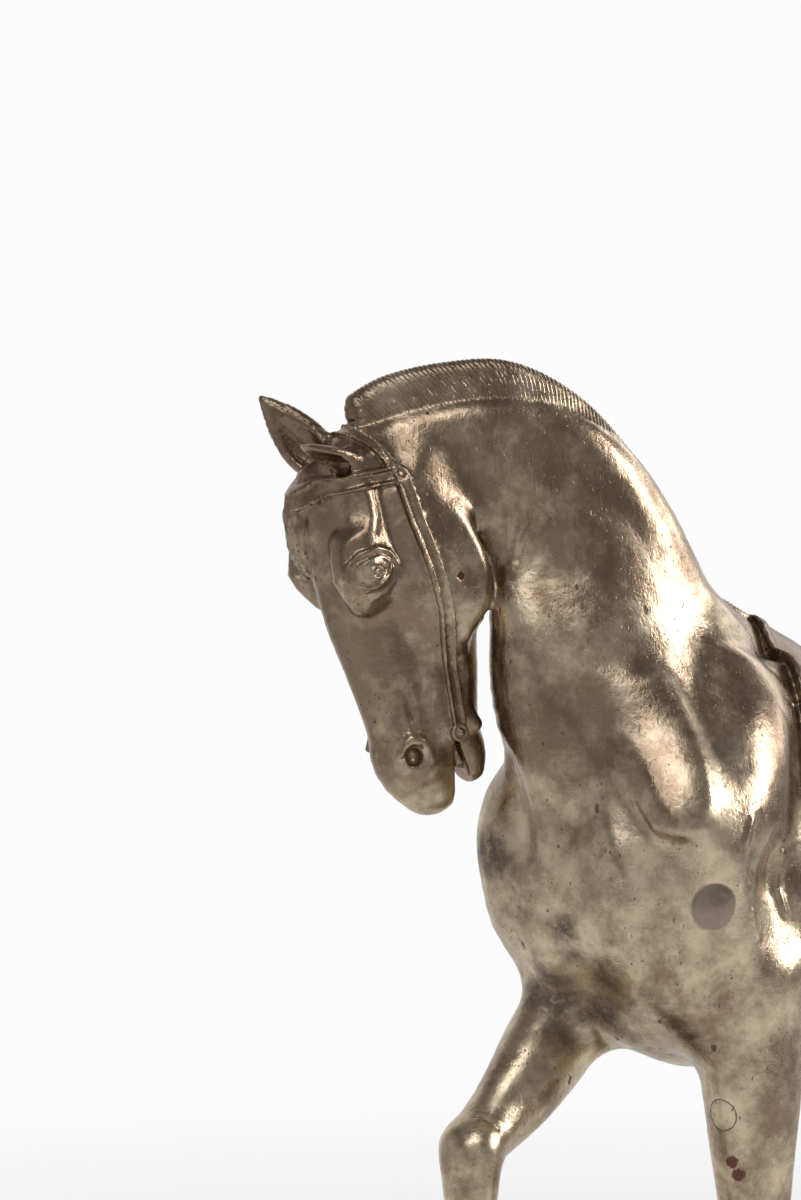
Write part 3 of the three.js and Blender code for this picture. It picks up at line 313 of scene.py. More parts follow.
def face_half(side):
    """Cheek, jowl rim, ear root, gland behind the cheek, temple, orbit, brow, temple ridge, eyeball, nostril
    wing, corner of the mouth and nostril rim, then the nostril itself."""
    forms = [
        ([(6.4, 3.8, -2.4, 1.6, 2.2), (9.5, 4.2, -3, 2, 3.8), (13.5, 4.4, -3.6, 2.2, 5), (18, 4, -4, 2, 4.6),
          (22, 3, -3.2, 1.4, 2.8)], 1),
        ([(9, 4.4, -5.4, 0.7, 0.7), (11.6, 5, -7.5, 1.1, 1.1), (15, 5, -8.3, 1.2, 1.1),
          (18.6, 4.6, -7.6, 1.1, 1.1), (21, 3.8, -5.6, 0.8, 0.8)], 1.4),
        ([(2.4, 3.2, 0.8, 1.6, 1.6), (2.4, 3.5, -0.8, 1.6, 1.6)], 1.2),
        ([(5.4, 3.2, -5, 1.8, 2.4), (9.4, 3.2, -7.6, 1.8, 1.8)], 3),
        ([(4.4, 3.4, 1.4, 1.4, 1.8), (8, 4, 2, 1.6, 2), (11, 4.3, 2.8, 1.8, 2.2)], 1.5),
        ([(9.8, 4.6, 3.4, 1.7, 1.9), (12.3, 5.05, 3.5, 2.1, 2.4), (14.4, 4.2, 3.3, 1.7, 2)], 2.2),
        ([(9, 4.6, 4.9, 0.8, 0.8), (12.4, 5.4, 5.8, 1, 1), (15.4, 4.8, 4.6, 0.8, 0.8)], 1.2),
        ([(5, 4.7, 1.1, 0.5, 0.5), (7.4, 5.2, 1.5, 0.7, 0.6), (8.6, 5.8, 2.6, 0.6, 0.6),
          (8.9, 5.8, 4, 0.5, 0.5), (10.2, 5.3, 5.4, 0.4, 0.4)], 1),
        ([(11.9, 5.75, 3.5, 1.9, 1.9), (12.3, 5.75, 3.5, 1.9, 1.9)], 0.2),
        ([(28.8, 2.6, 2.8, 1, 1.3), (31, 2.8, 2.8, 1.3, 1.7), (33.2, 2.7, 1.9, 1.4, 1.8)], 1),
        ([(29.6, 2.6, -4.1, 0.6, 0.7), (30.9, 2.7, -4.5, 0.8, 0.8)], 0.6),
        ([(31, 3.7, 4.5, 0.3, 0.3), (30, 3.9, 3.4, 0.5, 0.5), (30.4, 4, 2.1, 0.6, 0.6),
          (32.2, 3.9, 1.6, 0.4, 0.4)], 0.5),
    ]
    nostril = on_side(side, [(31.3, 5.4, 3.3, 1, 1.2), (31.7, 3.4, 3.1, 0.8, 0.9)])
    slit = on_side(side, [(32.2, 4.2, 3.7, 0.5, 0.45), (34.2, 3.4, 3.8, 0.3, 0.3)])
    return [
        *(head_line(on_side(side, stations), blend) for stations, blend in forms),
        head_line(nostril, 0.35, FACE_FRONT, cut=True),
        head_line(slit, 0.3, cut=True),
    ]


# The near ear is turned forward and out, the far one stands up.
EARS = {
    LEFT: {"base": (2.2, 3.4, 0.6), "tip": (-1.7, 5.5, 6.4), "face": (0.3, 0.5, 0.8), "width": 1.7},
    RIGHT: {"base": (2.6, 3, 1), "tip": (-5.6, 5.4, 4.6), "face": (0.1, -0.9, 0.5), "width": 2.6},
}


def ear(side):
    base, tip, face = (np.array(EARS[side][name]) for name in ("base", "tip", "face"))
    width = EARS[side]["width"]
    flip = np.array([1, side, 1])
    across = np.cross((face * flip) @ HEAD_AXES, ((tip - base) * flip) @ HEAD_AXES)
    leaf = [(0, 0.8, 0.8), (0.3, 1, 0.6), (0.6, 0.8, 0.42), (0.85, 0.42, 0.28), (1, 0.12, 0.12)]
    hollow = [(0.14, 0.42, 0.5), (0.35, 0.68, 0.5), (0.6, 0.52, 0.36), (0.86, 0.2, 0.2)]

    def along(profile, lift):
        places = []
        for t, w, d in profile:
            places.append((*(base + (tip - base) * t + face * lift * width), w * width, d * width))
        return on_side(side, places)

    return [head_line(along(leaf, 0), 0.8, across), head_line(along(hollow, 0.55), 0.3, across, cut=True)]


def mouth():
    """Parted lips, with the tongue between them."""
    parting = [
        (31.8, 0, -2.1, 5, 0.3), (33.4, 0, -1.95, 5, 0.65), (35, 0, -1.85, 5, 1), (37.2, 0, -1.8, 5, 1.3),
    ]
    return [
        head_line(parting, 0.3, cut=True),
        head_line([(31, 0, -2.2, 1.6, 1), (34.2, 0, -2.4, 1.5, 0.9)], 0.3),
    ]


# The middle of the pupil, along the face and forward of the poll.
EYE = (12.2, 3.1)

# The bridle, without reins. Each strap is (half width, how far out it starts, route). It runs round the head
# in one plane, so its route is drawn on the side of the face: along the face and forward of the poll. It lies
# on the head's own skin, with two raised edges.
STRAPS = [
    (0.95, 0.0, [(4.8, 8.6), (4.2, 6.2), (3.4, 4.1), (3.6, 1.1), (4.1, -2.3), (4.2, -3)]),
    (0.8, 2.0, [(4.2, -3), (5.4, -2.9), (9, -2.9), (13, -3.2), (18, -3.5), (24, -3.2), (30, -2.4)]),
    (0.65, 0.0, [(4.2, -3), (2.4, -2.2), (0.9, -1.6), (-0.6, -0.9), (-1.3, 0), (-1.6, 1)]),
]
STRAP_RISE = 0.28
STRAP_EDGE = 0.26
STRAP_ROUNDING = 0.12
BIT_BOSS = {"along": 30.8, "forward": -2.1, "face": 4.3, "radius": 0.95, "ring": 0.72, "bead": 0.42}


def forelock():
    knot = [(4.4, 1.3, 5.9, 1, 0.8), (5.8, 1.4, 6.5, 1.1, 0.8)]
    locks = [head_line(knot, 0.8)]
    for lean, width, drop in [(0.2, 0.8, 0), (-0.9, 0.8, 0.8), (1.3, 0.7, 1.4)]:
        top, belly, tip = (5.8, 1.3, 6.2), (8.8, 1.4 + lean * 0.6, 6.6), (12.4 - drop, 1.8 + lean, 6.8)
        locks.append(head_line([(*top, width, 0.9), (*belly, width, 1), (*tip, 0.25, 0.25)], 0.7))
    return locks


def limb_point(start, end, t, back=0.0, out=0.0):
    """A point between two joints of a limb, moved back from the limb's front and out from the body."""
    start, end = np.array(start, float), np.array(end, float)
    axis = unit(end - start)
    rear = unit(np.array([-axis[2], 0, axis[0]]))
    return start + (end - start) * t + rear * back + np.array([0, np.sign(start[1]) * out, 0])


def limb_line(start, end, profile, blend=3.0):
    return SwollenLine([(*limb_point(start, end, t, *shift), w, d) for t, w, d, *shift in profile], blend)


def fore_limb(elbow, knee, fetlock, coronet, sole, forearm):
    joint = [(-0.02, 2.9, 2.6, -0.1), (0.1, 3, 2.8), (0.22, 2.7, 2.7), (0.35, 1.8, 2)]
    cannon = [(0.2, 1.8, 2), (0.4, 1.6, 1.7, -0.3), (0.7, 1.6, 1.6, -0.3), (0.92, 2, 1.9)]
    return [
        limb_line(elbow, knee, forearm, 3),
        limb_line(elbow, knee, [(0.86, 2.4, 2.4, 0.3), (0.95, 2.7, 2.5, 0.1), (1, 2.9, 2.6, 0)], 1.5),
        limb_line(knee, fetlock, joint, 1.5),
        limb_line(knee, fetlock, [(-0.02, 1.4, 1, 2.2), (0.12, 1.2, 0.8, 2.4)], 1),
        limb_line(knee, fetlock, cannon, 1),
        limb_line(knee, fetlock, [(0.2, 1.2, 1, 1.4), (0.5, 1, 0.9, 1.5), (0.9, 1.2, 1, 1.6)], 0.8),
        *foot(fetlock, coronet, sole),
    ]


def hind_limb(hip, stifle, hock, fetlock, coronet, sole):
    thigh = [(0, 5, 9), (0.45, 6.2, 10.5, 0.5), (0.8, 5.2, 8.6, 0.5), (1.05, 4.2, 5.6, 0.8)]
    gaskin = [(-0.12, 3.4, 4, -0.6), (0.15, 4.4, 5.8, 0.4), (0.4, 3.5, 4.6, 0.5), (0.7, 2.3, 3)]
    gaskin += [(0.95, 2.3, 2.8)]
    joint = [(-0.14, 2.5, 2.8, 0.6), (0, 2.7, 3, 0.3), (0.14, 2.2, 2.5), (0.24, 1.8, 2.1)]
    cannon = [(0.15, 2, 2.2), (0.4, 1.7, 1.8, -0.2), (0.75, 1.6, 1.7, -0.2), (0.93, 2.1, 2)]
    return [
        limb_line(hip, stifle, thigh, 4),
        limb_line(stifle, hock, gaskin, 3),
        limb_line(stifle, hock, [(0.5, 1.1, 1.2, 4), (0.8, 1, 1.1, 3.6), (1, 1.4, 1.5, 3.2)], 1.5),
        limb_line(hock, fetlock, joint, 1.5),
        limb_line(hock, fetlock, cannon, 1),
        limb_line(hock, fetlock, [(0.1, 1.2, 1, 1.8), (0.5, 1, 0.9, 1.6), (0.9, 1.2, 1, 1.6)], 0.8),
        *foot(fetlock, coronet, sole),
    ]


def foot(fetlock, coronet, sole):
    pastern = [(-0.15, 2, 2.2, 0.2), (0.08, 2.3, 2.5, 0.4), (0.35, 1.9, 2), (0.8, 2.1, 2.2), (1, 2.5, 2.6)]
    hoof = [(0, 2.7, 3, 0), (0.12, 2.8, 3.1, 0), (1, 3.3, 3.9, 0.2), (1.4, 3.4, 4, 0.3)]
    return [limb_line(fetlock, coronet, pastern, 1), limb_line(coronet, sole, hoof, 0.4)]


def feet():
    return [line for limb in LIMBS for line in foot(limb["fetlock"], limb["coronet"], limb["sole"])]


LEFT_FORE = {
    "elbow": (-9.8, -8.8, 61), "knee": (-8, -8.4, 30.5), "fetlock": (-7.6, -8.2, 12),
    "coronet": (-10.4, -8.2, 5.4), "sole": (-12, -8.2, 0),
    "forearm": [(-0.1, 5, 6), (0.2, 4.9, 5.6), (0.45, 4.1, 4.8), (0.65, 3.4, 4), (0.92, 2.7, 3)],
}
RIGHT_FORE = {
    "elbow": (-12.5, 8.4, 64.5), "knee": (-33.4, 8, 47.8), "fetlock": (-32.8, 8, 28.5),
    "coronet": (-29.4, 8, 22.5), "sole": (-27, 8, 17.4),
    "forearm": [
        (0, 3.9, 5.4), (0.25, 3.9, 5.4, 0.4), (0.5, 3.7, 5, 0.8), (0.75, 3, 4, 0.7), (0.92, 2.6, 3, 0.2),
    ],
}
LEFT_HIND = {
    "hip": (45, -7.2, 84), "stifle": (40, -9.6, 61), "hock": (56.5, -8.2, 38),
    "fetlock": (49, -7.8, 12), "coronet": (45.6, -7.8, 5.4), "sole": (44, -7.8, 0),
}
RIGHT_HIND = {
    "hip": (46, 7.2, 84), "stifle": (45, 9.6, 61.5), "hock": (64, 8.2, 40),
    "fetlock": (69, 7.8, 12.4), "coronet": (66, 7.8, 5.6), "sole": (64.4, 7.8, 0),
}
LIMBS = (LEFT_FORE, RIGHT_FORE, LEFT_HIND, RIGHT_HIND)


def buttock(limb):
    """From the pin bone down the back of the thigh, thinning into the back of the gaskin."""
    side = np.sign(limb["hip"][1])
    low = limb_point(limb["stifle"], limb["hock"], 0.5, 2.2)
    upper = [(57, 4.8, 88, 4.4, 5.4), (61, 5.6, 80, 4.8, 6), (59, 6.6, 70, 4.6, 5.4)]
    middle = (59 * 0.4 + low[0] * 0.6, 7.4 * side, 59, 3.6, 4)
    return SwollenLine([*on_side(side, upper), middle, (*low, 1.6, 2)], 3.5)


# The tail: locks that leave the dock together, part and turn about each other as they fall.
TAIL_FALL = [
    (60, 91.5), (65, 93.6), (69.5, 90.5), (72.6, 82), (74.4, 71), (75.4, 59), (76.6, 48), (79.4, 38),
    (83, 31),
]
TAIL_SPREAD = [0.8, 1, 1.5, 2.2, 2.6, 2.7, 2.3, 1.5, 0.6]
TAIL_LOCKS = 7
TAIL_TWIST = 0.22


def tail():
    places = list(zip(TAIL_FALL, TAIL_SPREAD))
    core = [(x, 0, z, r + 0.8, r + 0.8) for (x, z), r in places[:7]]
    lines = [SwollenLine(core, 1.5)]
    for n in range(TAIL_LOCKS):
        last = len(places) - (1 if n % 3 == 1 else 0)
        stations = []
        for i, ((x, z), spread) in enumerate(places[:last]):
            angle = n / TAIL_LOCKS * 2 * math.pi + i * TAIL_TWIST
            thick = 0.25 if i == last - 1 else 1 + 0.5 * math.sin(i / last * math.pi)
            stations.append((x + spread * math.cos(angle), spread * math.sin(angle), z, thick, thick))
        lines.append(SwollenLine(stations, 0.5))
    return lines


back_lines = [*trunk(), *on_both_sides(shoulder_and_breast)]
body_field = field_of([
    *back_lines,
    *left_shoulder(),
    buttock(LEFT_HIND),
    buttock(RIGHT_HIND),
    *fore_limb(**LEFT_FORE),
    *fore_limb(**RIGHT_FORE),
    *hind_limb(**LEFT_HIND),
    *hind_limb(**RIGHT_HIND),
    *tail(),
    *neck(),
    *skull(),
    *on_both_sides(face_half),
    *mouth(),
])
above_the_bridle = field_of([*on_both_sides(ear), *forelock()])
back_field = field_of(back_lines)

# A saddle cloth lies over the back, with a raised hem, and a girth holds it.
CLOTH = {"front": 1.6, "slant": 0.55, "rear": 27, "low": 76, "rise": 0.8, "hem": 1.5, "hem_rise": 0.35}
GIRTH = {"front": 4.5, "rear": 8.5, "rise": 0.7}


def saddlery(x, y, z):
    body = back_field(x, y, z)
    slant = CLOTH["slant"] * np.abs(y)
    inset = np.minimum(x - (CLOTH["front"] - slant), CLOTH["rear"] + slant / 4 - x)
    inset = np.minimum(inset, z - CLOTH["low"])
    on_hem = np.maximum(-inset, inset - CLOTH["hem"])
    cloth = np.maximum(body - CLOTH["rise"], -inset)
    hem = np.maximum(body - CLOTH["rise"] - CLOTH["hem_rise"], on_hem)
    girth = np.maximum(body - GIRTH["rise"], GIRTH["front"] - slant / 2 - x)
    girth = np.maximum(girth, x - GIRTH["rear"] + slant / 2)
    return np.where(body > 4, OUTSIDE, np.minimum(np.minimum(cloth, hem), girth)).astype(np.float32)


def distance_to_route(route, u, v):
    """The distance in a plane from each point (u, v) to a broken line."""
    best = np.full(len(u), OUTSIDE)
    for (u0, v0), (u1, v1) in zip(route[:-1], route[1:]):
        du, dv = u1 - u0, v1 - v0
        t = np.clip(((u - u0) * du + (v - v0) * dv) / (du * du + dv * dv), 0, 1)
        best = np.minimum(best, np.hypot(u - u0 - t * du, v - v0 - t * dv))
    return best


# The head lies wholly before this x.
HEAD_BEHIND = -28


def in_head(x, y, z):
    """Along the face, out from its middle and forward of the poll, for points in body measures."""
    return HEAD_AXES @ (np.stack([x, y, z]) - POLL[:, None])


def bridle(body, x, y, z):
    value = np.full(len(x), OUTSIDE)
    near = np.flatnonzero((body > -3) & (body < 2) & (x < HEAD_BEHIND) & (z > 80))
    along, out, forward = in_head(x[near], y[near], z[near])
    for width, clear, route in STRAPS:
        d = distance_to_route(route, along, forward) - width
        rise = STRAP_RISE + STRAP_EDGE * np.exp(-(((1 + d / width - 0.72) / 0.2) ** 2))
        strap = np.maximum(-blended_min(rise - body[near], -d, STRAP_ROUNDING), clear - np.abs(out))
        value[near] = np.minimum(value[near], strap)
    radial = np.hypot(along - BIT_BOSS["along"], forward - BIT_BOSS["forward"])
    off_face = np.abs(out) - BIT_BOSS["face"]
    disc = np.maximum(radial - BIT_BOSS["radius"], off_face)
    ring = np.hypot(radial - BIT_BOSS["ring"], off_face) - (BIT_BOSS["radius"] - BIT_BOSS["ring"])
    bead = np.hypot(radial, off_face - 0.1) - BIT_BOSS["bead"]
    value[near] = np.minimum(value[near], np.minimum(np.minimum(disc, ring), bead))
    return value


def smooth_horse(x, y, z):
    body = body_field(x, y, z)
    dressed = above_the_bridle(x, y, z, np.minimum(body, bridle(body, x, y, z)))
    value = blended_min(dressed, saddlery(x, y, z), 0.3)
    return np.maximum(value, -z - SEAT_GAP / U)


def in_any_order(field):
    """The same field for points in any order, given as rows."""

    def ordered(points):
        order = np.argsort(points[:, 0])
        x, y, z = (np.ascontiguousarray(points[order, n], np.float32) for n in range(3))
        value = np.empty(len(points), np.float32)
        value[order] = field(x, y, z)
        return value

    return ordered


def distance_from(lines, points):
    return in_any_order(field_of(lines))(points)


horse_field = in_any_order(smooth_horse)

OCTANTS = np.array([[n & 1, (n >> 1) & 1, (n >> 2) & 1] for n in range(8)])
NEAR = 1.25
KEY_SPAN = 4096


def keys_of(ids):
    return (ids[..., 0] * KEY_SPAN + ids[..., 1]) * KEY_SPAN + ids[..., 2]


def skin_of(field, low, high, cell, halvings):
    """The zero surface as points and triangles, one point to each cell that it crosses."""
    size = cell * 2**halvings
    count = np.ceil((np.array(high) - low) / size).astype(int)
    ids = np.stack(np.meshgrid(*map(np.arange, count), indexing="ij"), -1).reshape(-1, 3)
    for _ in range(halvings):
        near = np.abs(field(low + (ids + 0.5) * size)) < NEAR * size
        size /= 2
        ids = (ids[near][:, None] * 2 + OCTANTS).reshape(-1, 3)
    corners = ids[:, None] + OCTANTS
    known, place = np.unique(keys_of(corners), return_inverse=True)
    spots = np.stack([known // KEY_SPAN**2, known // KEY_SPAN % KEY_SPAN, known % KEY_SPAN], 1)
    values = field(low + spots * size)[place].reshape(-1, 8)
    within = values < 0
    active = within.any(1) & ~within.all(1)
    ids, values, within = ids[active], values[active], within[active]
    total = np.zeros((len(ids), 3))
    crossings = np.zeros(len(ids))
    for a in range(8):
        for axis in range(3):
            b = a | (1 << axis)
            if a == b:
                continue
            crosses = within[:, a] != within[:, b]
            t = values[crosses, a] / (values[crosses, a] - values[crosses, b])
            total[crosses] += OCTANTS[a] + t[:, None] * (OCTANTS[b] - OCTANTS[a])
            crossings[crosses] += 1
    points = low + (ids + total / crossings[:, None]) * size
    order = np.argsort(keys_of(ids))
    sorted_keys = keys_of(ids)[order]
    quads = []
    for axis in range(3):
        b, c = (np.eye(3, dtype=int)[(axis + k) % 3] for k in (1, 2))
        crosses = within[:, 0] != within[:, 1 << axis]
        ring = [ids[crosses] - shift for shift in (0 * b, b, b + c, c)]
        found = [np.minimum(np.searchsorted(sorted_keys, keys_of(r)), len(order) - 1) for r in ring]
        quad = np.stack([order[f] for f in found], 1)
        outward = within[crosses, 0]
        quads.append(np.where(outward[:, None], quad, quad[:, ::-1]))
    quads = np.concatenate(quads)
    p = points[quads]
    first = np.linalg.norm(p[:, 0] - p[:, 2], axis=1) < np.linalg.norm(p[:, 1] - p[:, 3], axis=1)
    one, other = quads[first], quads[~first]
    halves = [one[:, [0, 1, 2]], one[:, [0, 2, 3]], other[:, [0, 1, 3]], other[:, [1, 2, 3]]]
    return points, np.concatenate(halves)


def outer_shell(points, faces):
    """Only the largest connected skin is kept: a bubble between two muscles has no face outside."""
    label = np.arange(len(points))
    while True:
        lowest = label[faces].min(1)
        new = label.copy()
        np.minimum.at(new, faces.ravel(), np.repeat(lowest, 3))
        new = new[new]
        if (new == label).all():
            break
        label = new
    owner = label[faces[:, 0]]
    kept = faces[owner == np.bincount(owner).argmax()]
    used, place = np.unique(kept, return_inverse=True)
    return points[used], place.reshape(-1, 3)


GRADIENT_STEP = 0.04


def gradient_of(field, points):
    shifts = np.concatenate([np.eye(3), -np.eye(3)]) * GRADIENT_STEP
    values = field((points[None] + shifts[:, None]).reshape(-1, 3)).reshape(6, -1)
    return (values[:3] - values[3:]).T / (2 * GRADIENT_STEP)


def drawn_to_skin(field, points, steps, most):
    for _ in range(steps):
        slope = gradient_of(field, points)
        size = np.maximum((slope**2).sum(1), 0.05)
        move = -slope * (field(points) / size)[:, None]
        length = np.linalg.norm(move, axis=1, keepdims=True)
        points = points + move * np.minimum(1, most / np.maximum(length, 1e-9))
    return points


def split_where(points, faces, chosen):
    """Splits the chosen triangles in four, and a neighbour that shares a split edge so that it still meets
    it."""
    edges = np.sort(faces[:, [[0, 1], [1, 2], [2, 0]]], axis=2)
    known, place = np.unique(edges[..., 0] * len(points) + edges[..., 1], return_inverse=True)
    place = place.reshape(-1, 3)
    split = np.zeros(len(known), bool)
    split[place[chosen]] = True
    middle = np.full(len(known), -1)
    middle[split] = len(points) + np.arange(split.sum())
    ends = np.stack([known[split] // len(points), known[split] % len(points)], 1)
    points = np.concatenate([points, points[ends].mean(1)])
    mids = middle[place]
    count = (mids >= 0).sum(1)
    # Turned so that a single split edge comes first, and a single whole edge last.
    turn = np.where(count == 2, ((mids < 0).argmax(1) + 1) % 3, 0)
    turn = np.where(count == 1, (mids >= 0).argmax(1), turn)
    roll = (turn[:, None] + np.arange(3)) % 3
    (a, b, c), (m, n, o) = np.take_along_axis(faces, roll, 1).T, np.take_along_axis(mids, roll, 1).T
    patterns = {
        0: [(a, b, c)],
        1: [(a, m, c), (m, b, c)],
        2: [(m, b, n), (a, m, n), (a, n, c)],
        3: [(a, m, o), (m, b, n), (o, n, c), (m, n, o)],
    }
    made = [np.stack(corners, 1)[count == k] for k, group in patterns.items() for corners in group]
    return points, np.concatenate(made)


# Marks on the left side, as (middle, radius): a patch let into the shoulder, and the plug of a core pin.
PATCH = ((-21.2, -13.0, 72.5), 2.4)
PLUG = ((-14.5, -8.8, 50.8), 1.6)
SEAM_DEPTH, SEAM_WIDTH = 0.07, 0.13


def ring(centre, radius, steps=16):
    turns = np.linspace(0, 2 * math.pi, steps + 1)
    return [(centre[0] + radius * math.cos(t), centre[1] + radius * math.sin(t)) for t in turns]


# The chased relief: ridges and grooves cut into the casting, as (height, half width, route). On the head a
# route is drawn on the side of the face, along it and forward of the poll; on the body it is a run of points.
FACE_STROKES = [
    (0.26, 0.3, [(12.2, 0.3), (11, 0.8), (10.1, 2.1), (10.1, 4.2), (11, 5.7), (12.2, 6.4)]),
    (0.14, 0.2, [(11.6, 1.4), (10.9, 2), (10.8, 3.4), (11.1, 4.4)]),
    (0.2, 0.24, [(11.7, 1.1), (12.7, 1.5), (13.5, 2.6), (13.6, 3.9), (13, 5)]),
    (0.12, 0.26, [(12.6, 0.3), (13.9, 1), (14.7, 2.4), (14.9, 4)]),
    (-0.12, 0.16, [(12.2, 0.7), (11, 1.3), (10.5, 2.6), (10.7, 4.4)]),
    (-0.12, 0.16, [(12, 1.4), (12.7, 2), (13.2, 3), (13.2, 4.2)]),
    (0.15, 0.13, ring(EYE, 0.58)),
    (-0.14, 0.12, ring(EYE, 0.33)),
    (0.12, 0.16, [(12.2, 3.1), (12.2, 3.12)]),
    (0.1, 0.12, ring((13.6, 4.4), 0.28)),
    (0.13, 0.4, [(24.4, 3.2), (26, 2.9), (28, 2.8), (29.4, 3)]),
    (0.1, 0.3, [(24.8, 1.4), (27, 1.3), (28.6, 1.4)]),
    (-0.1, 0.2, [(25.4, 2.2), (28.4, 2.1)]),
    (-0.08, 0.14, [(24, 0.2), (25.6, 0.4)]),
    (-0.08, 0.14, [(25.8, -0.6), (27.4, 0)]),
    (0.14, 0.5, [(21.4, -5.6), (23.6, -5.4), (26, -4.9)]),
    (-0.12, 0.3, [(20.6, -4.6), (22.6, -4.2), (24.8, -4.3)]),
    (-0.14, 0.16, [(2.9, -2.3), (5.3, -2.2)]),
]
BODY_STROKES = [
    (0.3, 0.5, [(-17.6, -14.7, 81), (-18.9, -14.4, 78), (-19, -14, 74.8)]),
    (-0.3, 0.7, [(-16.2, -14.3, 81), (-17, -14.2, 78), (-17.4, -13.9, 74.6)]),
    (0.26, 0.45, [(-10.6, -13.2, 77), (-10.9, -13.2, 73.3), (-10.2, -13.2, 71)]),
    (-0.26, 0.6, [(-12, -13.2, 77), (-12.3, -13.2, 73.3)]),
    (0.2, 0.3, [(-16, -13.6, 71.8), (-15, -13.5, 69.2)]),
    (-0.12, 0.14, [(-33.6, 7.1, 51.4), (-33, 6, 50.9), (-32.3, 5.2, 50.1)]),
    (0.14, 0.55, [(-30.6, 5.9, 104), (-30.2, 5.9, 108), (-30, 5.9, 111.4)]),
    (0.14, 0.5, [(-30.2, 5.6, 105), (-29.3, 5.1, 108.6), (-28.9, 4.8, 111)]),
    (0.14, 0.5, [(-29.8, 5.2, 105), (-28.6, 4.3, 107.8), (-27.7, 3.4, 110)]),
    (-0.1, 0.35, [(-30.4, 5.9, 106), (-29.6, 5.6, 109.6)]),
    (-0.1, 0.35, [(-29.8, 5.2, 106.4), (-28.6, 4.4, 109.6)]),
]


def distance_to_run(run, points):
    best = np.full(len(points), OUTSIDE)
    for start, end in zip(np.array(run[:-1]), np.array(run[1:])):
        along = end - start
        t = np.clip((points - start) @ along / (along @ along), 0, 1)
        best = np.minimum(best, np.linalg.norm(points - start - t[:, None] * along, axis=1))
    return best


def place_along(stations, points):
    """How far each point is along a line, how high above it and how far aside, and the line's half depth
    there."""
    fine = resampled(stations, STEPS_PER_SPAN)
    nearest, run = np.full(len(points), OUTSIDE), 0.0
    place = np.zeros((4, len(points)))
    for start, end in zip(fine[:-1], fine[1:]):
        along = end[:3] - start[:3]
        length = np.linalg.norm(along)
        axis = along / length
        across = across_body(start[5])
        across = unit(across - axis * (across @ axis))
        t = np.clip((points - start[:3]) @ axis / length, 0, 1)
        away = points - start[:3] - t[:, None] * along
        near = np.linalg.norm(away, axis=1)
        closer = near < nearest
        nearest[closer] = near[closer]
        depth = start[4] + (end[4] - start[4]) * t
        found = np.stack([run + t * length, away @ np.cross(across, axis), away @ across, depth])
        place[:, closer] = found[:, closer]
        run += length
    return place


def cut_rows(phase):
    """Grooves side by side, one to each unit of phase, and no two of one depth: 0 on top, down to -1."""
    row = np.floor(phase)
    depth = 0.7 + 0.3 * np.sin(row * 2.4) * np.sin(row * 0.9)
    return -(np.abs(2 * (phase - row) - 1) ** 1.5) * depth


MANE_PITCH, MANE_LEAN, MANE_CUT = 0.46, 0.55, 0.13
NOTCH_RUN, NOTCH_PITCH, NOTCH_CUT = 24.0, 0.62, 0.22
TAIL_STRANDS, TAIL_CUT = 28, 0.1
EAR_PITCH, EAR_CUT = 0.42, 0.08
FORELOCK_PITCH, FORELOCK_CUT = 0.4, 0.12
FILED = {"low": 52.5, "high": 62.5, "front": -15, "out": -10, "pitch": 0.36, "cut": 0.04}


def mane_relief(points):
    """Hair cut into both sides of the mane, leaning back as it falls, and notches in the edge over the
    withers."""
    along, above, _, depth = place_along(MANE, points)
    height = above / depth
    cut = MANE_CUT * cut_rows((along - MANE_LEAN * above) / MANE_PITCH) * step_between(height, -0.7, -0.1)
    at_edge = step_between(height, 0.3, 0.9) * step_between(along, NOTCH_RUN + 6, NOTCH_RUN)
    return cut + NOTCH_CUT * cut_rows((along + above) / NOTCH_PITCH) * at_edge


def tail_relief(points):
    """Strands that turn about the tail with its locks."""
    middle = [(x, 0, z, 1, 1, 0) for x, z in TAIL_FALL]
    along, _, _, _ = place_along(middle, points)
    fall = np.array(TAIL_FALL)
    runs = np.concatenate([[0], np.cumsum(np.linalg.norm(np.diff(fall, axis=0), axis=1))])
    x, place = np.interp(along, runs, fall[:, 0]), np.interp(along, runs, np.arange(len(fall)))
    turn = np.arctan2(points[:, 1], points[:, 0] - x) - TAIL_TWIST * place
    return TAIL_CUT * cut_rows(turn * TAIL_STRANDS / (2 * math.pi) + 0.3 * np.sin(along * 0.3))


def ear_relief(points, side):
    base, tip = (np.array(EARS[side][name]) * (1, side, 1) for name in ("base", "tip"))
    rise = unit(tip - base)
    local = np.stack(in_head(*points.T), 1) - base
    up = local @ rise
    aside = local @ unit(np.cross(rise, np.array([0.0, 1.0, 0.2])))
    return EAR_CUT * cut_rows(aside / EAR_PITCH + 0.35 * up) * step_between(up, 0, 1.5)


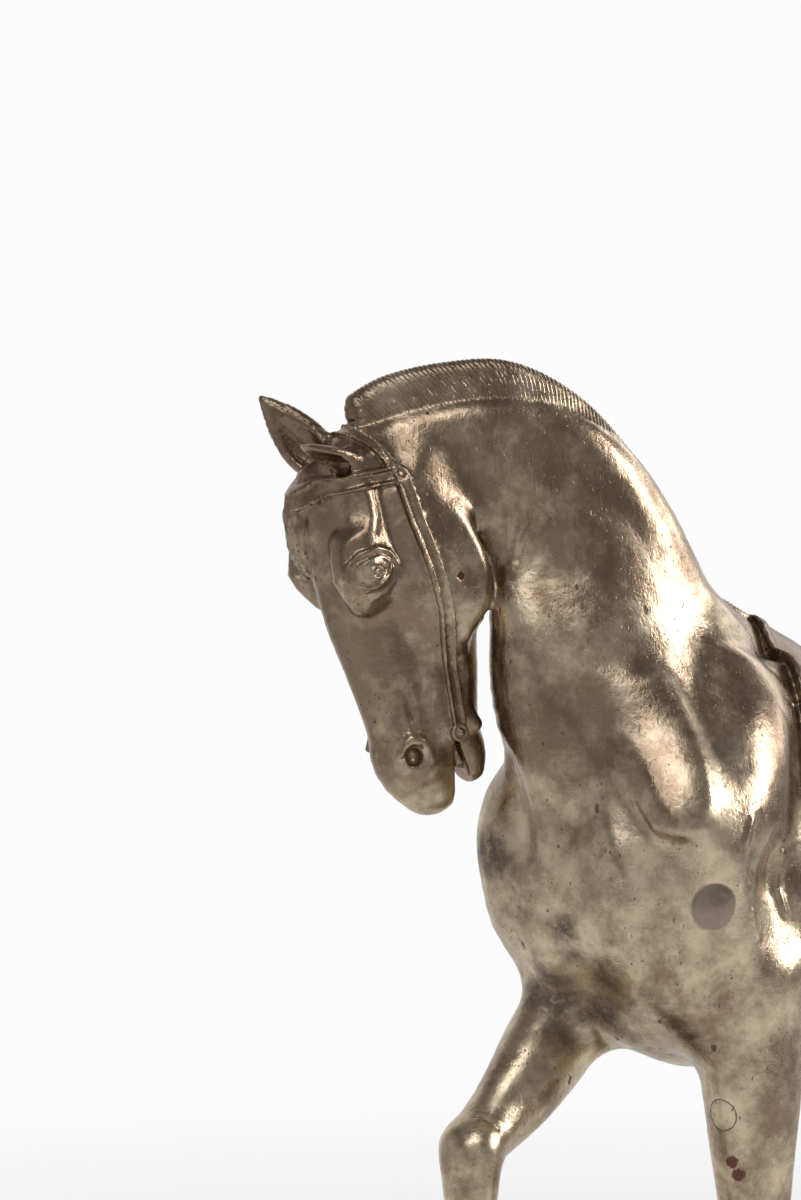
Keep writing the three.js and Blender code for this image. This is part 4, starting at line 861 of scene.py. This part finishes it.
def relief(points):
    """How far the chaser's tools raise or lower the skin."""
    lift = np.zeros(len(points))
    x, y, z = points.T
    wave = np.sin(x / 1.7 + 1.3 * np.sin(z / 3.1)) * np.sin(y / 1.9 + z / 2.3 + 1.1 * np.sin(x / 2.9))
    ripple = np.sin(x / 0.71 + 1.6 * np.sin(z / 1.3)) * np.sin(z / 0.83 + y / 0.77 + 1.4 * np.sin(x / 1.1))
    lift += 0.045 * wave + 0.012 * ripple
    for lines, stroke, reach in ((mane_lines(), mane_relief, 0.5), (tail(), tail_relief, 0.4)):
        near = np.flatnonzero(distance_from(lines, points) < reach)
        lift[near] = stroke(points[near])
    for side in SIDES:
        near = np.flatnonzero(distance_from(ear(side), points) < 0.2)
        lift[near] += ear_relief(points[near], side)
    near = np.flatnonzero((x < HEAD_BEHIND) & (z > 78))
    along, out, forward = in_head(*points[near].T)
    on_side = step_between(np.abs(out), 1.6, 2.4)
    for height, width, route in FACE_STROKES:
        lift[near] += height * np.exp(-((distance_to_route(route, along, forward) / width) ** 2)) * on_side
    lock = np.flatnonzero(distance_from(forelock(), points) < 0.3)
    along, out, _ = in_head(*points[lock].T)
    lift[lock] += FORELOCK_CUT * cut_rows(out / FORELOCK_PITCH + 0.25 * np.sin(along))
    for height, width, run in BODY_STROKES:
        lift += height * np.exp(-((distance_to_run(run, points) / width) ** 2))
    for centre, radius in (PATCH, PLUG):
        edge = np.linalg.norm(points - np.array(centre), axis=1) - radius
        lift -= SEAM_DEPTH * np.exp(-((edge / SEAM_WIDTH) ** 2))
    low, high, front = (FILED[name] for name in ("low", "high", "front"))
    filed = step_between(z, low, low + 1.5) * step_between(z, high, high - 1.5)
    filed *= step_between(x, front, front + 1) * (y < FILED["out"])
    return lift + FILED["cut"] * filed * cut_rows((z + 0.6 * x) / FILED["pitch"])


REACH_LOW, REACH_HIGH = np.array([-64.0, -19.0, -2.0]), np.array([88.0, 34.0, 131.0])

head_lines = [*skull(), *on_both_sides(face_half)]
crisp_lines = [*mane_lines(), *tail(), *feet(), *on_both_sides(ear)]
SMOOTHINGS = 40
PULL, PUSH = 0.6, -0.62


def smoothness(points):
    """1 on the open body, where the joints between runs of a line are smoothed away, and 0 on what stays
    crisp."""
    clear_of_head = np.clip((distance_from(head_lines, points) - 0.4) / 1.5, 0, 1)
    clear_of_hair = np.clip((distance_from(crisp_lines, points) - 0.3) / 1.2, 0, 1)
    clear_of_cloth = np.clip((np.abs(in_any_order(saddlery)(points)) - 0.2) / 0.8, 0, 1)
    return np.minimum(np.minimum(clear_of_head, clear_of_hair), clear_of_cloth)


def smoothed(points, faces, weight, passes):
    """Each pass draws a point to the middle of its neighbours, and then pushes it back a little further, so
    that the form doesn't shrink."""
    edges = np.sort(np.concatenate([faces[:, [0, 1]], faces[:, [1, 2]], faces[:, [2, 0]]]), axis=1)
    edges = np.unique(edges[:, 0] * len(points) + edges[:, 1])
    a, b = edges // len(points), edges % len(points)
    around = np.bincount(a, minlength=len(points)) + np.bincount(b, minlength=len(points))
    for n in range(2 * passes):
        pull = PULL if n % 2 == 0 else PUSH
        for axis in range(3):
            column = points[:, axis]
            total = np.bincount(a, column[b], len(points)) + np.bincount(b, column[a], len(points))
            points[:, axis] = column + pull * weight * (total / around - column)
    return points


def needs_fine_faces(points, finest):
    """The straps, eyes, nostrils, ears, mane, patches and chased strokes; finest for what is finest on the
    left."""
    along, out, forward = in_head(*points.T)
    strap = np.min([distance_to_route(route, along, forward) - width for width, _, route in STRAPS], axis=0)
    eye = np.hypot(along - EYE[0], forward - EYE[1]) - 3.2
    nostril = np.hypot(along - 31.4, forward - 3.0) - 2.4
    boss = np.hypot(along - BIT_BOSS["along"], forward - BIT_BOSS["forward"]) - 1.4
    on_side = np.abs(out) > 2
    low_part = np.minimum(np.minimum(eye, nostril), boss)
    if finest:
        near = ((np.abs(strap + 0.1) < 0.22) | (eye < -0.6) | (boss < -0.3)) & (out < -2)
    else:
        near = (strap < 0.3) | ((low_part < 0) & on_side) | ((along < 3) & (forward > -1.5))
    near &= (points[:, 0] < HEAD_BEHIND) & (along < 36) & (along > -8)
    hair = distance_from(mane_lines(), points) < (0.2 if finest else 0.4)
    if finest:
        _, above, aside, depth = place_along(MANE, points)
        return near | (hair & (above > -0.5 * depth) & (aside < 0.3))
    strokes = np.min([distance_to_run(run, points) - width for _, width, run in BODY_STROKES], axis=0)
    let_in = [np.linalg.norm(points - np.array(centre), axis=1) - radius for centre, radius in (PATCH, PLUG)]
    x, y, z = points.T
    filed = (y < FILED["out"]) & (z > FILED["low"]) & (z < FILED["high"])
    filed &= (x > FILED["front"]) & (x < FILED["front"] + 5)
    return near | hair | (strokes < 0) | (np.abs(let_in).min(0) < 0.3) | filed


def horse_skin():
    points, faces = skin_of(horse_field, REACH_LOW, REACH_HIGH, CELL, HALVINGS)
    points, faces = outer_shell(points, faces)
    points = drawn_to_skin(horse_field, points, 2, CELL / 2)
    lowest = points[:, 2].min()
    points = smoothed(points, faces, smoothness(points), SMOOTHINGS)
    for n in range(FINE_SPLITS):
        start = len(points)
        points, faces = split_where(points, faces, needs_fine_faces(points[faces].mean(1), n > 0))
        points[start:] = drawn_to_skin(horse_field, points[start:], 2, CELL / 4)
    points = points + point_normals(points, faces) * relief(points)[:, None]
    points[:, 2] = np.maximum(points[:, 2], lowest)
    return points, faces


def mesh_piece(name, points, faces, material):
    mesh = bpy.data.meshes.new(name)
    mesh.vertices.add(len(points))
    mesh.vertices.foreach_set("co", np.ascontiguousarray(points, np.float32).ravel())
    mesh.loops.add(faces.size)
    mesh.loops.foreach_set("vertex_index", np.ascontiguousarray(faces, np.int32).ravel())
    mesh.polygons.add(len(faces))
    mesh.polygons.foreach_set("loop_start", np.arange(0, faces.size, faces.shape[1], dtype=np.int32))
    mesh.update(calc_edges=True)
    mesh.validate()
    mesh.shade_smooth()
    piece = bpy.data.objects.new(name, mesh)
    bpy.context.scene.collection.objects.link(piece)
    piece.data.materials.append(material)
    return piece


def thin(piece, wanted):
    """Closes the edges whose loss changes the shape least."""
    modifier = piece.modifiers.new("thin", "DECIMATE")
    modifier.ratio = min(1.0, wanted / len(piece.data.polygons))
    evaluated = piece.evaluated_get(bpy.context.evaluated_depsgraph_get())
    mesh = bpy.data.meshes.new_from_object(evaluated)
    piece.modifiers.remove(modifier)
    piece.data = mesh
    mesh.shade_smooth()


def bent_edges(points, faces, passes):
    """How far each point lies below the smoothed surface: above 0 in a hollow, below 0 on an edge."""
    normals = point_normals(points, faces)
    soft = smoothed(points.copy(), faces, 1, passes)
    return ((soft - points) * normals).sum(1)


def point_normals(points, faces):
    a, b, c = (points[faces[:, n]] for n in range(3))
    square = np.cross(b - a, c - a)
    corners = faces.ravel()
    total = np.stack([np.bincount(corners, np.repeat(part, 3), len(points)) for part in square.T], 1)
    return unit(total + 1e-12)


def step_between(value, low, high):
    t = np.clip((value - low) / (high - low), 0, 1)
    return t * t * (3 - 2 * t)


def mesh_arrays(piece):
    mesh = piece.data
    points = np.empty(len(mesh.vertices) * 3, np.float32)
    mesh.vertices.foreach_get("co", points)
    faces = np.empty(len(mesh.loops), np.int32)
    mesh.loops.foreach_get("vertex_index", faces)
    return points.reshape(-1, 3).astype(float), faces.reshape(-1, 3).astype(int)


def paint(piece, name, values):
    """Keeps one number for each point of the mesh, for the material to read."""
    layer = piece.data.attributes.new(name, "FLOAT", "POINT")
    layer.data.foreach_set("value", np.ascontiguousarray(values, np.float32))


# Where the gilding of the throat has kept its pale face.
PALE_RUN = [(-30.4, 7, 108), (-29.6, 5.6, 105), (-29.2, 5.6, 101)]


def horse_tones(piece):
    """Where the casting is hollow, for dirt in its fine hollows and painted shade in its broad ones, and
    where it is worn; how much gilding shows, and where it is dark brown.
    """
    points, faces = mesh_arrays(piece)
    points = (points - HORSE_ORIGIN) / U
    fine = bent_edges(points, faces, 3)
    broad = bent_edges(points, faces, 40)
    # The hollow layer: the material darkens fine hollows as dirt and broad hollows as painted shade.
    paint(piece, "hollow", step_between(fine, 0.01, 0.06) * 0.7 + step_between(broad, 0.1, 0.5) * 0.6)
    paint(piece, "worn", step_between(-fine, 0.01, 0.05))
    hair = distance_from([*mane_lines(), *tail()], points)
    crest = distance_from([*on_both_sides(ear), *forelock()], points)
    cloth = in_any_order(saddlery)(points)
    dark = 0.35 * np.maximum(step_between(hair, 0.5, 0.05), step_between(crest, 0.4, 0.05))
    dark = np.maximum(dark, 0.9 * step_between(cloth, 0.25, 0.05) * (points[:, 2] > CLOTH["low"] - 1))
    head = step_between(distance_from(head_lines, points), 3, 0)
    paint(piece, "dark", dark)
    # Paler towards the bottom, from the breast down.
    low = step_between(points[:, 2], 90, 72)
    fan = step_between(distance_to_run(PALE_RUN, points), 3.4, 1.8)
    paint(piece, "gilt", 0.3 + 0.18 * low - 0.06 * head + 0.3 * fan * (1 - head))


class Tree:
    """Adds nodes to a material or a world, and links or sets what goes into them. Lengths are in metres."""

    def __init__(self, owner):
        owner.use_nodes = True
        self.nodes, self.links = owner.node_tree.nodes, owner.node_tree.links
        self.nodes.clear()

    def add(self, kind, inputs=None, **settings):
        node = self.nodes.new("ShaderNode" + kind)
        for name, value in settings.items():
            setattr(node, name, value)
        for name, value in (inputs or {}).items():
            if isinstance(value, bpy.types.NodeSocket):
                self.links.new(value, node.inputs[name])
            else:
                node.inputs[name].default_value = value
        return node

    def maths(self, operation, *values):
        return self.add("Math", dict(enumerate(values)), operation=operation).outputs[0]

    def times(self, a, b):
        return self.maths("MULTIPLY", a, b)

    def higher(self, a, b):
        return self.maths("MAXIMUM", a, b)

    def added(self, base, share, value):
        return self.maths("MULTIPLY_ADD", value, share, base)

    def from_middle(self, value):
        return self.maths("SUBTRACT", value, 0.5)

    def off_edge(self, away, radius):
        return self.maths("ABSOLUTE", self.maths("SUBTRACT", away, radius))

    def ramp(self, value, low, high):
        """0 below low, 1 above high, and smooth between. low may be the higher of the two."""
        limits = {"Value": value, "From Min": low, "From Max": high}
        return self.add("MapRange", limits, interpolation_type="SMOOTHSTEP").outputs["Result"]

    def mixed(self, share, a, b):
        return self.add("Mix", {0: share, 6: a, 7: b}, data_type="RGBA", blend_type="MIX").outputs[2]

    def noise(self, place, size, detail, rough=0.55, twist=0.0):
        inputs = {"Vector": place, "Scale": 1 / size, "Detail": detail, "Roughness": rough}
        return self.add("TexNoise", {**inputs, "Distortion": twist}).outputs["Fac"]

    def stretched(self, place, turn, scale):
        """The place turned by degrees about each axis, then scaled, so that a pattern is long one way."""
        mapping = {"Vector": place, "Rotation": [math.radians(a) for a in turn], "Scale": scale}
        return self.add("Mapping", mapping).outputs[0]

    def painted(self, name):
        return self.add("Attribute", attribute_name=name).outputs["Fac"]

    def away(self, place, centre):
        """The distance of the place from a centre in the horse's own measures."""
        centre = tuple(np.array(centre) * U + HORSE_ORIGIN)
        return self.add("VectorMath", {0: place, 1: centre}, operation="DISTANCE").outputs["Value"]


def colour(r, g, b):
    return (r, g, b, 1)


GILDING = colour(0.72, 0.59, 0.42)
BROWN_BRONZE = colour(0.27, 0.19, 0.13)
DARK_BROWN = colour(0.14, 0.095, 0.07)
# The dark of dirt, seams and pits, also used for painted shade in broad hollows and in dark patches.
GRIME_AND_SHADE = colour(0.055, 0.042, 0.034)
RED_BROWN = colour(0.12, 0.035, 0.03)
PATCH_METAL = colour(0.34, 0.29, 0.255)

# Dark scars, and soft dark patches, as (middle, radius). The patches are painted shade at the root of the
# raised leg, under the breast and by the shoulders, mottled like stains.
SCARS = [((-35.3, 7.8, 104.9), 0.55), ((-13.4, -9.5, 46.1), 0.75), ((-13.1, -9.8, 44.8), 0.7)]
SHADE_AND_STAIN_PATCHES = [
    ((-22.7, 5.2, 62), 5.5), ((-20.9, 1.6, 60.6), 4.5), ((-27.8, 10.1, 77.1), 4), ((-26.6, 2.1, 69.6), 2.6),
    ((-25.2, 1.3, 67.1), 2.2), ((-17.1, -10.4, 86.6), 5), ((-26.4, 7, 60), 3),
]
RAGGED = 0.0007


def pits(tree, place, size, most, turn, rarity=3.0):
    """Casting pits, ragged and longer one way than across: 1 inside a pit."""
    lengthened = tree.stretched(place, turn, (1, 1, 0.5))
    cells = tree.add("TexVoronoi", {"Vector": lengthened, "Scale": 1 / size})
    chance = tree.add("SeparateColor", {0: cells.outputs["Color"]}).outputs[0]
    reach = tree.times(tree.maths("POWER", chance, rarity), most)
    return tree.ramp(tree.maths("SUBTRACT", reach, cells.outputs["Distance"]), 0.0, 0.08)


def all_pits(tree, place):
    """Small pits in crowds, and a few large ones."""
    wander = tree.add("TexNoise", {"Vector": place, "Scale": 1 / RAGGED, "Detail": 2.0}).outputs["Color"]
    shift = tree.add("VectorMath", {0: wander, "Scale": RAGGED}, operation="SCALE").outputs[0]
    ragged = tree.add("VectorMath", {0: place, 1: shift}, operation="ADD").outputs[0]
    crowded = tree.ramp(tree.noise(place, 0.011, 3), 0.42, 0.62)
    small = pits(tree, ragged, 0.0009, 0.3, (20, 35, 10))
    small = tree.higher(small, pits(tree, ragged, 0.0011, 0.3, (70, -40, 25)))
    large = pits(tree, ragged, 0.0034, 0.26, (-25, 10, 40), 7.0)
    return tree.higher(tree.times(small, crowded), large)


def marks_of(tree, place, fine, tone, height):
    """The let-in patch, the plug's seam and the scars, over the tone and height that are there."""
    centre, radius = PATCH
    away = tree.away(place, centre)
    on_patch = tree.ramp(away, radius * U, radius * U - 0.0003)
    tone = tree.mixed(on_patch, tone, tree.mixed(fine, PATCH_METAL, BROWN_BRONZE))
    rim = tree.ramp(tree.off_edge(away, radius * U), 0.00022, 0.00008)
    centre, radius = PLUG
    seam = tree.ramp(tree.off_edge(tree.away(place, centre), radius * U), 0.00025, 0.0001)
    seam = tree.times(seam, tree.ramp(fine, 0.35, 0.5))
    seams = tree.higher(tree.times(rim, 0.4), seam)
    tone = tree.mixed(tree.times(seams, 0.8), tone, GRIME_AND_SHADE)
    for centre, radius in SCARS:
        ragged = tree.added(tree.away(place, centre), radius * U * 1.8, tree.from_middle(fine))
        scar = tree.ramp(ragged, radius * U, radius * U * 0.7)
        tone = tree.mixed(tree.times(scar, 0.9), tone, RED_BROWN)
        height = tree.added(height, -0.5, scar)
    return tone, height


def shade_and_stains_at(tree, place, middle, fine):
    # Patches of painted shade where the leg, breast and shoulders meet, mottled like stains.
    shade_and_stains = 0.0
    for centre, radius in SHADE_AND_STAIN_PATCHES:
        ragged = tree.added(tree.away(place, centre), radius * U * 1.6, middle)
        shade_and_stains = tree.higher(shade_and_stains, tree.ramp(ragged, radius * U * 1.9, radius * U * 0.9))
    return tree.times(shade_and_stains, tree.ramp(fine, 0.2, 0.55))


def gilt_bronze(name, marked):
    """Worn gilding over brown bronze: mottled, pitted, scratched, dark in hollows with dirt and painted
    shade, and bright on edges. Only a marked piece has painted layers, patches of painted shade and stains,
    and marks of its own."""
    material = bpy.data.materials.new(name)
    tree = Tree(material)
    place = tree.add("TexCoord").outputs["Object"]
    broad = tree.noise(place, 0.030, 2, twist=0.6)
    middle = tree.noise(place, 0.009, 5, 0.62)
    fine = tree.noise(place, 0.0022, 4, 0.65)
    grain = tree.noise(place, 0.0005, 2, 0.6)
    if marked:
        hollow, worn, dark, gilt = (tree.painted(layer) for layer in ("hollow", "worn", "dark", "gilt"))
    else:
        hollow, worn, dark, gilt = 0.0, 0.0, 0.3, 0.4

    patchy = gilt
    for share, mottling in ((1.0, broad), (1.2, middle), (0.5, fine)):
        patchy = tree.added(patchy, share, tree.from_middle(mottling))
    kept = tree.ramp(tree.added(patchy, 0.4, worn), 0.1, 0.85)
    tone = tree.mixed(kept, BROWN_BRONZE, GILDING)
    tone = tree.mixed(tree.times(dark, 0.85), tone, DARK_BROWN)
    # Hollows go dark: dirt in the fine ones, painted shade in the broad ones.
    dirt_and_shade = tree.ramp(tree.added(hollow, 0.5, fine), 0.35, 0.95)
    # The patches of painted shade and stains darken it too.
    if marked:
        dirt_and_shade = tree.higher(dirt_and_shade, shade_and_stains_at(tree, place, middle, fine))
    tone = tree.mixed(tree.times(dirt_and_shade, 0.85), tone, GRIME_AND_SHADE)
    pitted = all_pits(tree, place)
    tone = tree.mixed(tree.times(pitted, 0.8), tone, GRIME_AND_SHADE)

    filed = tree.noise(tree.stretched(place, (35, 20, -20), (1, 1, 0.06)), 0.0007, 2)
    lines = tree.noise(tree.stretched(place, (-50, 10, 30), (1, 1, 0.03)), 0.0011, 1)
    scratched = tree.ramp(lines, 0.66, 0.74)
    height = tree.times(fine, 0.7)
    for share, part in ((1.4, middle), (0.16, grain), (0.16, filed), (-0.5, pitted), (-0.14, scratched)):
        height = tree.added(height, share, part)
    if marked:
        tone, height = marks_of(tree, place, fine, tone, height)

    # Dirt, painted shade and pits are rougher and less metallic.
    dirt_shade_and_pits = tree.higher(dirt_and_shade, pitted)
    gloss = tree.added(tree.added(0.19, 0.16, middle), 0.25, dirt_shade_and_pits)
    gloss = tree.added(gloss, 0.08, dark)
    bump = tree.add("Bump", {"Strength": 0.5, "Distance": 0.0003, "Height": height}).outputs[0]
    shader = tree.add("BsdfPrincipled", {
        "Base Color": tone, "Roughness": gloss, "Normal": bump, "Metallic": tree.added(0.95, -0.5, dirt_shade_and_pits),
    })
    output = tree.add("OutputMaterial")
    tree.links.new(shader.outputs[0], output.inputs["Surface"])
    return material


# The plinth's profile from the floor up, as (inset, height) in shares of its own height: a straight foot, a
# hollow moulding and a thin upper edge.
PLINTH_HEIGHT = 0.013
PLINTH_LENGTH, PLINTH_WIDTH = 0.252, 0.092
CORNER_RADIUS = 0.007
CORNER_STEPS = 10
HOLLOW_STEPS = 10
ARRIS = 0.02


def plinth_profile():
    turns = np.linspace(0, math.pi / 2, HOLLOW_STEPS + 1)
    hollow = [(0.16 + 0.3 * math.sin(t), 0.4 + 0.36 * (1 - math.cos(t))) for t in turns]
    foot = [(ARRIS, 0), (0, ARRIS), (0, 0.34 - ARRIS), (ARRIS, 0.34)]
    edge = [(0.32, 0.76), (0.3, 0.78), (0.3, 0.96), (0.31, 0.99), (0.34, 1)]
    return [(inset * PLINTH_HEIGHT, z * PLINTH_HEIGHT) for inset, z in [*foot, *hollow, *edge]]


def plinth_ring(inset, z):
    radius = CORNER_RADIUS - inset * 0.5
    corner = []
    for quarter, (east, north) in enumerate([(1, 1), (-1, 1), (-1, -1), (1, -1)]):
        for n in range(CORNER_STEPS + 1):
            angle = (quarter + n / CORNER_STEPS) * math.pi / 2
            x = east * (PLINTH_LENGTH / 2 - inset - radius) + radius * math.cos(angle)
            corner.append((x, north * (PLINTH_WIDTH / 2 - inset - radius) + radius * math.sin(angle), z))
    return corner


def plinth_skin():
    rings = [plinth_ring(inset, z) for inset, z in plinth_profile()]
    size = len(rings[0])
    points = np.array([*(p for one in rings for p in one), (0, 0, 0), (0, 0, PLINTH_HEIGHT)])
    here = np.arange(size)
    after = np.roll(here, -1)
    last = (len(rings) - 1) * size
    faces = [np.stack([np.full(size, len(points) - 2), after, here], 1)]
    faces.append(np.stack([np.full(size, len(points) - 1), last + here, last + after], 1))
    for level in range(len(rings) - 1):
        a, b = level * size + here, level * size + after
        faces += [np.stack([a, b, b + size], 1), np.stack([a, b + size, a + size], 1)]
    return points, np.concatenate(faces)


points, faces = horse_skin()
horse = mesh_piece("horse_casting", points * U + HORSE_ORIGIN, faces, gilt_bronze("gilt_bronze", True))
thin(horse, HORSE_TRIANGLES)
horse_tones(horse)
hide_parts("horse")
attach(horse, "root")

plinth = mesh_piece("plinth_casting", *plinth_skin(), gilt_bronze("plinth_bronze", False))
plinth.data.set_sharp_from_angle(angle=math.radians(25))
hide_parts("plinth")
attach(plinth, "root")

# The camera stands where the photograph was taken from, to the left of the head and a little above it.
CAMERA_TARGET = np.array([-29.885, 19.968, 101.722]) * U + HORSE_ORIGIN
CAMERA_DISTANCE = 620 * U
CAMERA_AZIMUTH, CAMERA_ELEVATION = math.radians(-50), math.radians(4)
LENS, SENSOR = 186, 36
CAMERA_RIGHT = np.array([math.cos(CAMERA_AZIMUTH), math.sin(CAMERA_AZIMUTH), 0])


def camera_back():
    """The way from the target back to the camera."""
    level = np.array([math.sin(CAMERA_AZIMUTH), -math.cos(CAMERA_AZIMUTH), 0]) * math.cos(CAMERA_ELEVATION)
    return level + math.sin(CAMERA_ELEVATION) * UP


def set_camera():
    data = bpy.data.cameras.new("camera")
    data.lens, data.sensor_width = LENS, SENSOR
    data.sensor_fit = "AUTO"
    camera = bpy.data.objects.new("camera", data)
    bpy.context.scene.collection.objects.link(camera)
    camera.location = CAMERA_TARGET + camera_back() * CAMERA_DISTANCE
    camera.rotation_mode = "QUATERNION"
    camera.rotation_quaternion = Vector(-camera_back()).to_track_quat("-Z", "Y")
    bpy.context.scene.camera = camera


def from_camera(height, turn):
    """A direction by its degrees above the level and to the right of the way back to the camera."""
    height, turn = math.radians(height), math.radians(turn)
    level = math.sin(turn) * CAMERA_RIGHT + math.cos(turn) * unit(camera_back() * (1, 1, 0))
    return math.cos(height) * level + math.sin(height) * UP


# The studio: each light is (degrees up, degrees right of the camera, reach, softness, strength).
STUDIO_LIGHTS = [
    (49, 12, 11, 4, 3.4),
    (37, -17, 8, 4, 2.8),
    (26, 91, 5, 3, 13.0),
    (17, 93, 6, 3, 13.0),
    (9, 92, 4, 2, 13.0),
    (15, 120, 6, 3, 5.0),
    (28, 142, 8, 6, 3.0),
    (10, 180, 40, 30, 0.8),
    (4, -90, 14, 40, 0.5),
    (6, 10, 20, 16, 0.5),
    (-16, -45, 14, 16, 0.5),
]
# The room's own light from below and from above, and the white that the camera sees behind the horse.
ROOM_LOW, ROOM_HIGH = 0.27, 0.18
BACKDROP = 0.975


def set_studio():
    world = bpy.data.worlds.new("studio")
    bpy.context.scene.world = world
    tree = Tree(world)
    way = tree.add("TexCoord").outputs["Generated"]
    up = tree.add("SeparateXYZ", {0: way}).outputs[2]
    light = tree.added(ROOM_LOW, ROOM_HIGH - ROOM_LOW, tree.ramp(up, -0.2, 0.7))
    for height, turn, reach, softness, strength in STUDIO_LIGHTS:
        towards = tuple(from_camera(height, turn))
        aim = tree.add("VectorMath", {0: way, 1: towards}, operation="DOT_PRODUCT").outputs["Value"]
        outer, inner = (math.cos(math.radians(a)) for a in (reach + softness, reach))
        light = tree.higher(light, tree.times(tree.ramp(aim, outer, inner), strength))
    seen = tree.add("LightPath").outputs["Is Camera Ray"]
    studio = tree.add("Background", {"Color": colour(1, 1, 1), "Strength": light})
    backdrop = tree.add("Background", {"Color": colour(BACKDROP, BACKDROP, BACKDROP)})
    shown = tree.add("MixShader", {0: seen, 1: studio.outputs[0], 2: backdrop.outputs[0]})
    output = tree.add("OutputWorld")
    tree.links.new(shown.outputs[0], output.inputs["Surface"])
    bpy.context.scene.view_settings.view_transform = "Standard"


FLOOR_RADIUS = 1.1
FLOOR_FADES = (0.3, 0.95)
FLOOR_BELOW = 0.0004


def set_floor():
    """A pale table top that fades into the white of the studio."""
    material = bpy.data.materials.new("table")
    tree = Tree(material)
    place = tree.add("TexCoord").outputs["Object"]
    away = tree.add("VectorMath", {0: place}, operation="LENGTH").outputs["Value"]
    white = tree.add("BsdfPrincipled", {
        "Base Color": colour(0.8, 0.8, 0.79), "Roughness": 0.7,
        "Emission Color": colour(1, 1, 1), "Emission Strength": 0.2,
    })
    clear = tree.add("BsdfTransparent")
    fading = tree.ramp(away, *FLOOR_FADES)
    faded = tree.add("MixShader", {0: fading, 1: white.outputs[0], 2: clear.outputs[0]})
    output = tree.add("OutputMaterial")
    tree.links.new(faded.outputs[0], output.inputs["Surface"])
    turns = np.linspace(0, 2 * math.pi, 96, endpoint=False)
    rim = np.stack([np.cos(turns), np.sin(turns), 0 * turns], 1) * FLOOR_RADIUS
    corners = np.arange(len(rim))
    faces = np.stack([corners, np.roll(corners, -1), np.full(len(rim), len(rim))], 1)
    floor = mesh_piece("table_top", np.vstack([rim, [0, 0, 0]]), faces, material)
    floor.location.z = -FLOOR_BELOW


set_camera()
set_studio()
set_floor()
